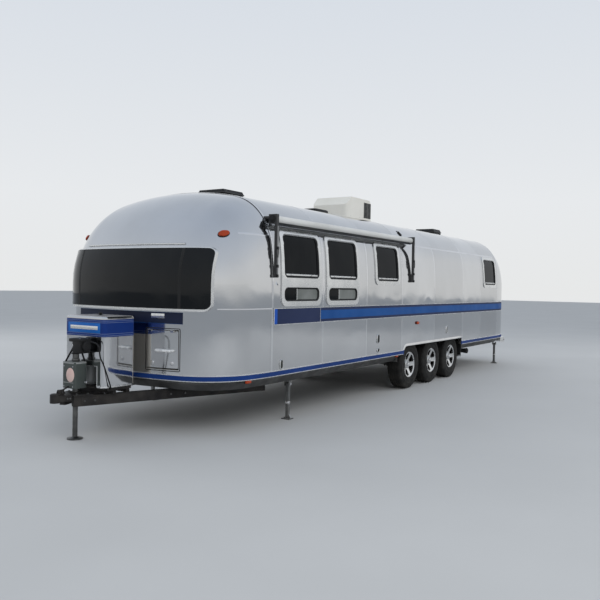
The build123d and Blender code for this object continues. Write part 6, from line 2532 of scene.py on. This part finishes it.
@dataclass(frozen=True)
class RearAndLegs:
    """Bumper lines and caps, stabiliser fittings, step treads, waste cap and flap strips."""

    leg_x: tuple[tuple[str, float], ...] = (("front", 2.9), ("rear", -4.7))
    leg_y: float = 1.05
    pivot_z: float = 0.4
    step_x: Pair = (1.57, 2.13)
    step_low_y: float = -1.165
    step_top: float = 0.424
    drain: Point = (-2.9, 1.11, 0.38)
    bumper_proud: float = 0.07
    bumper_z: Pair = (0.44, 0.54)
    bumper_half: float = 1.17
    flap_y: Pair = (0.915, 1.165)
    flap_x: Pair = (-2.386, -2.38)

    def build(self) -> None:
        """Makes all of these parts."""
        self.bumper()
        self.stabilisers()
        self.step()
        self.waste()
        flaps = Piece("flap_strips")
        for side in Side:
            low, high = sorted(side.value * y for y in self.flap_y)
            for low_z, high_z in ((0.585, 0.615), (0.322, 0.345)):
                flaps.slab((self.flap_x[0], low, low_z), (self.flap_x[1], high, high_z), 0.001)
        flaps.hang("trim_aluminium")

    def bumper(self) -> None:
        """Makes the rolled bumper with its two beads, the rubber strip in its groove, and its bolts."""
        shell, strip, bolts = Piece("bumper_shell"), Piece("bumper_strip"), Piece("bumper_bolts")
        middle = sum(self.bumper_z) / 2
        path: Path = []
        for step in range(81):
            point, out = FORM.on_end(End.REAR, self.bumper_half * math.cos(math.pi * step / 80), middle)
            path.append((point + out * self.bumper_proud, out))
        half = [
            (0.05, -0.078), (0.05, -0.01), (0.047, -0.004), (0.042, -0.0008), (0.036, -0.0008),
            (0.032, -0.005),
        ]
        half += [(0.016, -0.006), (0.0145, -0.01)]
        shell.sweep(path, tuple(half + [(-s, h) for s, h in reversed(half)]))
        strip.sweep(path, even((0.0142, -0.011), (0.0142, -0.005), (0.009, -0.0008)))
        for y in (-0.93, -0.855, 0.855, 0.93):
            point, out = FORM.on_end(End.REAR, y, middle + 0.025)
            bolts.dome((point + out * (self.bumper_proud - 0.0056), out), 0.007, 0.004, 12)
        shell.hang("trim_aluminium", replaces=("bumper",), sharp=50.0)
        strip.hang("black_rubber")
        bolts.hang("bright_steel", sharp=80.0)

    def stabilisers(self) -> None:
        """Makes each leg's foot ribs and lock sleeve on its body, and the pivots' nuts on the brackets."""
        nuts = Piece("stabiliser_nuts")
        for row, x in self.leg_x:
            for side in Side:
                y = side.value * self.leg_y
                leg = Piece(f"stabiliser_parts_{row}_{side.name.lower()}")
                for turn in (-1.0, 1.0):
                    corners = ((0.018, 0.01), (0.042, 0.01), (0.018, 0.06))
                    outline = [Vector((x + turn * reach, y - 0.003, z)) for reach, z in corners]
                    leg.plate(outline, Vector((0, 1, 0)), 0.006, 0.001)
                    corners = ((0.018, 0.01), (0.052, 0.01), (0.018, 0.06))
                    ridge = [Vector((x - 0.003, y + turn * reach, z)) for reach, z in corners]
                    leg.plate(ridge, Vector((1, 0, 0)), 0.006, 0.001)
                leg.slab((x - 0.0205, y - 0.0205, 0.17), (x + 0.0205, y + 0.0205, 0.2), 0.002)
                leg.lathe(
                    (
                        (-0.03, 0.0), (-0.03, 0.0065), (0.024, 0.0065), (0.026, 0.009), (0.032, 0.009),
                        (0.032, 0.0),
                    ),
                    facing((x, y, 0.185), (1, 0, 0)), 12,
                )
                leg.hang("bright_steel", body=f"stabiliser_{row}_{side.name.lower()}")
                for turn in (-1.0, 1.0):
                    place = facing((x, y + turn * 0.031, self.pivot_z), (0.0, turn, 0.0))
                    nuts.nut(place, 0.016, (0.0125, 0.01), (0.01, 0.012))
        nuts.hang("bright_steel")

    def step(self) -> None:
        """Makes grip bars on the tread and a bright nosing."""
        grips, nosing = Piece("step_grips"), Piece("step_nosing")
        low_x, high_x = self.step_x
        low_y = self.step_low_y
        for step in range(9):
            y = low_y + 0.032 + 0.022 * step
            grips.slab(
                (low_x + 0.03, y - 0.006, self.step_top - 0.001),
                (high_x - 0.03, y + 0.006, self.step_top + 0.003), 0.0012,
            )
        nosing.slab(
            (low_x + 0.004, low_y - 0.003, self.step_top - 0.028),
            (high_x - 0.004, low_y + 0.001, self.step_top + 0.002), 0.0012,
        )
        nosing.slab(
            (low_x + 0.004, low_y - 0.003, self.step_top - 0.0005),
            (high_x - 0.004, low_y + 0.018, self.step_top + 0.002), 0.0008,
        )
        grips.hang("step_tread", body="entry_step")
        nosing.hang("trim_aluminium", body="entry_step")

    def waste(self) -> None:
        """Makes the waste outlet's cap, its lugs and the valve's pull rod."""
        x, y, z = self.drain
        parts = Piece("waste_cap")
        mouth = facing((x, y, z), (0.0, 1.0, 0.0))
        parts.lathe(
            (
                (-0.02, 0.0448), (-0.018, 0.0465), (-0.004, 0.0465), (0.002, 0.044), (0.004, 0.036),
                (0.008, 0.035), (0.008, 0.0),
            ),
            mouth, 40,
        )
        for turn in (0.0, math.pi):
            lug = mouth @ Matrix.Rotation(turn + 0.4, 4, "Z")
            parts.slab((0.042, -0.009, -0.016), (0.054, 0.009, 0.0), 0.002, lug)
        parts.slab((x - 0.012, y + 0.004, z - 0.004), (x + 0.012, y + 0.016, z + 0.004), 0.002)
        parts.tube(((x + 0.02, y - 0.15, z + 0.02), (x + 0.02, y - 0.01, z + 0.045)), 0.004, 10)
        parts.stud(facing((x + 0.02, y - 0.012, z + 0.045), (0, 1, 0.15)), (0.01, 0.01), (0.006, 0.014), 16)
        parts.hang("black_plastic")


@dataclass(frozen=True)
class CarriedNodes:
    """The frame's own nodes, which keep their shapes and get their finishes here."""

    finishes: tuple[tuple[str, tuple[str, ...]], ...] = (
        (
            "polished_skin",
            (
                "front_cap", "rear_cap", "left_wall", "right_wall", "roof", "entry_door",
                "front_hatch_left", "front_hatch_right", "rear_hatch", "gas_cover",
            ),
        ),
        ("trim_aluminium", ("window_frames", "door_trim")),
        ("dark_glass", ("window_glass", "door_glass")),
        ("blue_insert", ("rub_rail",)),
        ("floor_board", ("floor_deck",)),
        ("galvanised", ("chassis", "axles", "wheel_wells", "under_brackets")),
        # The belly pan is coloured near-black as painted shade under the floor.
        ("lacquered_aluminium", ("belly_pan",)),
        ("black_rubber", ("mud_flaps",)),
        ("black_steel", ("drawbar", "coupler")),
        ("arm_paint", ("awning_frames",)),
        ("jack_zinc", ("jack_tube", "jack_leg")),
        ("black_plastic", ("drain_outlet", "roof_bases", "vent_lid_front", "vent_lid_rear")),
        ("grey_plastic", ("jack_housing",)),
        ("fitting_grey", ("side_fittings",)),
        ("bottle_paint", ("gas_bottles",)),
        ("white_plastic", ("air_conditioner",)),
        ("red_lens", ("tail_lamps",)),
        ("step_tread", ("entry_step",)),
    )

    def dress(self) -> None:
        """Gives each node its material."""
        chosen = {node: finish for finish, nodes in self.finishes for node in nodes}
        for name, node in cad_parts.items():
            if name.startswith("rim_"):
                chosen[name] = "alloy"
            if name.startswith("stabiliser_"):
                chosen[name] = "galvanised"
            if name in chosen:
                self.paint(node, PALETTE.get(chosen[name]))

    def paint(self, node: bpy.types.Object, material: bpy.types.Material) -> None:
        """Puts one material in every slot of a node.

        Args:
            node: the node's object.
            material: its material.
        """
        if not node.material_slots:
            node.data.materials.append(material)
        for slot in node.material_slots:
            slot.material = material


def main() -> None:
    """Builds every sub-assembly in order and reports each one."""
    logging.basicConfig(level=logging.INFO, format="%(name)s: %(message)s")
    Studio().build()
    LOG.info("studio is set")
    JackCable().build(PALETTE.get("black_rubber"))
    LOG.info("jack cable is laid")
    CarriedNodes().dress()
    LOG.info("frame nodes are dressed")
    assemblies = (
        SkinSeams(), RubRail(), BeltStripe(), Windows(), EntryDoor(), Hatches(),
        Lamps(), SideFittings(), Awning(), AirConditioner(), RoofVents(), Wheels(), Underside(),
        DrawbarGear(), Jack(), GasSet(), RearAndLegs(),
    )
    for assembly in assemblies:
        assembly.build()
        LOG.info("%s is built", type(assembly).__name__)


if __name__ == "__main__":
    main()
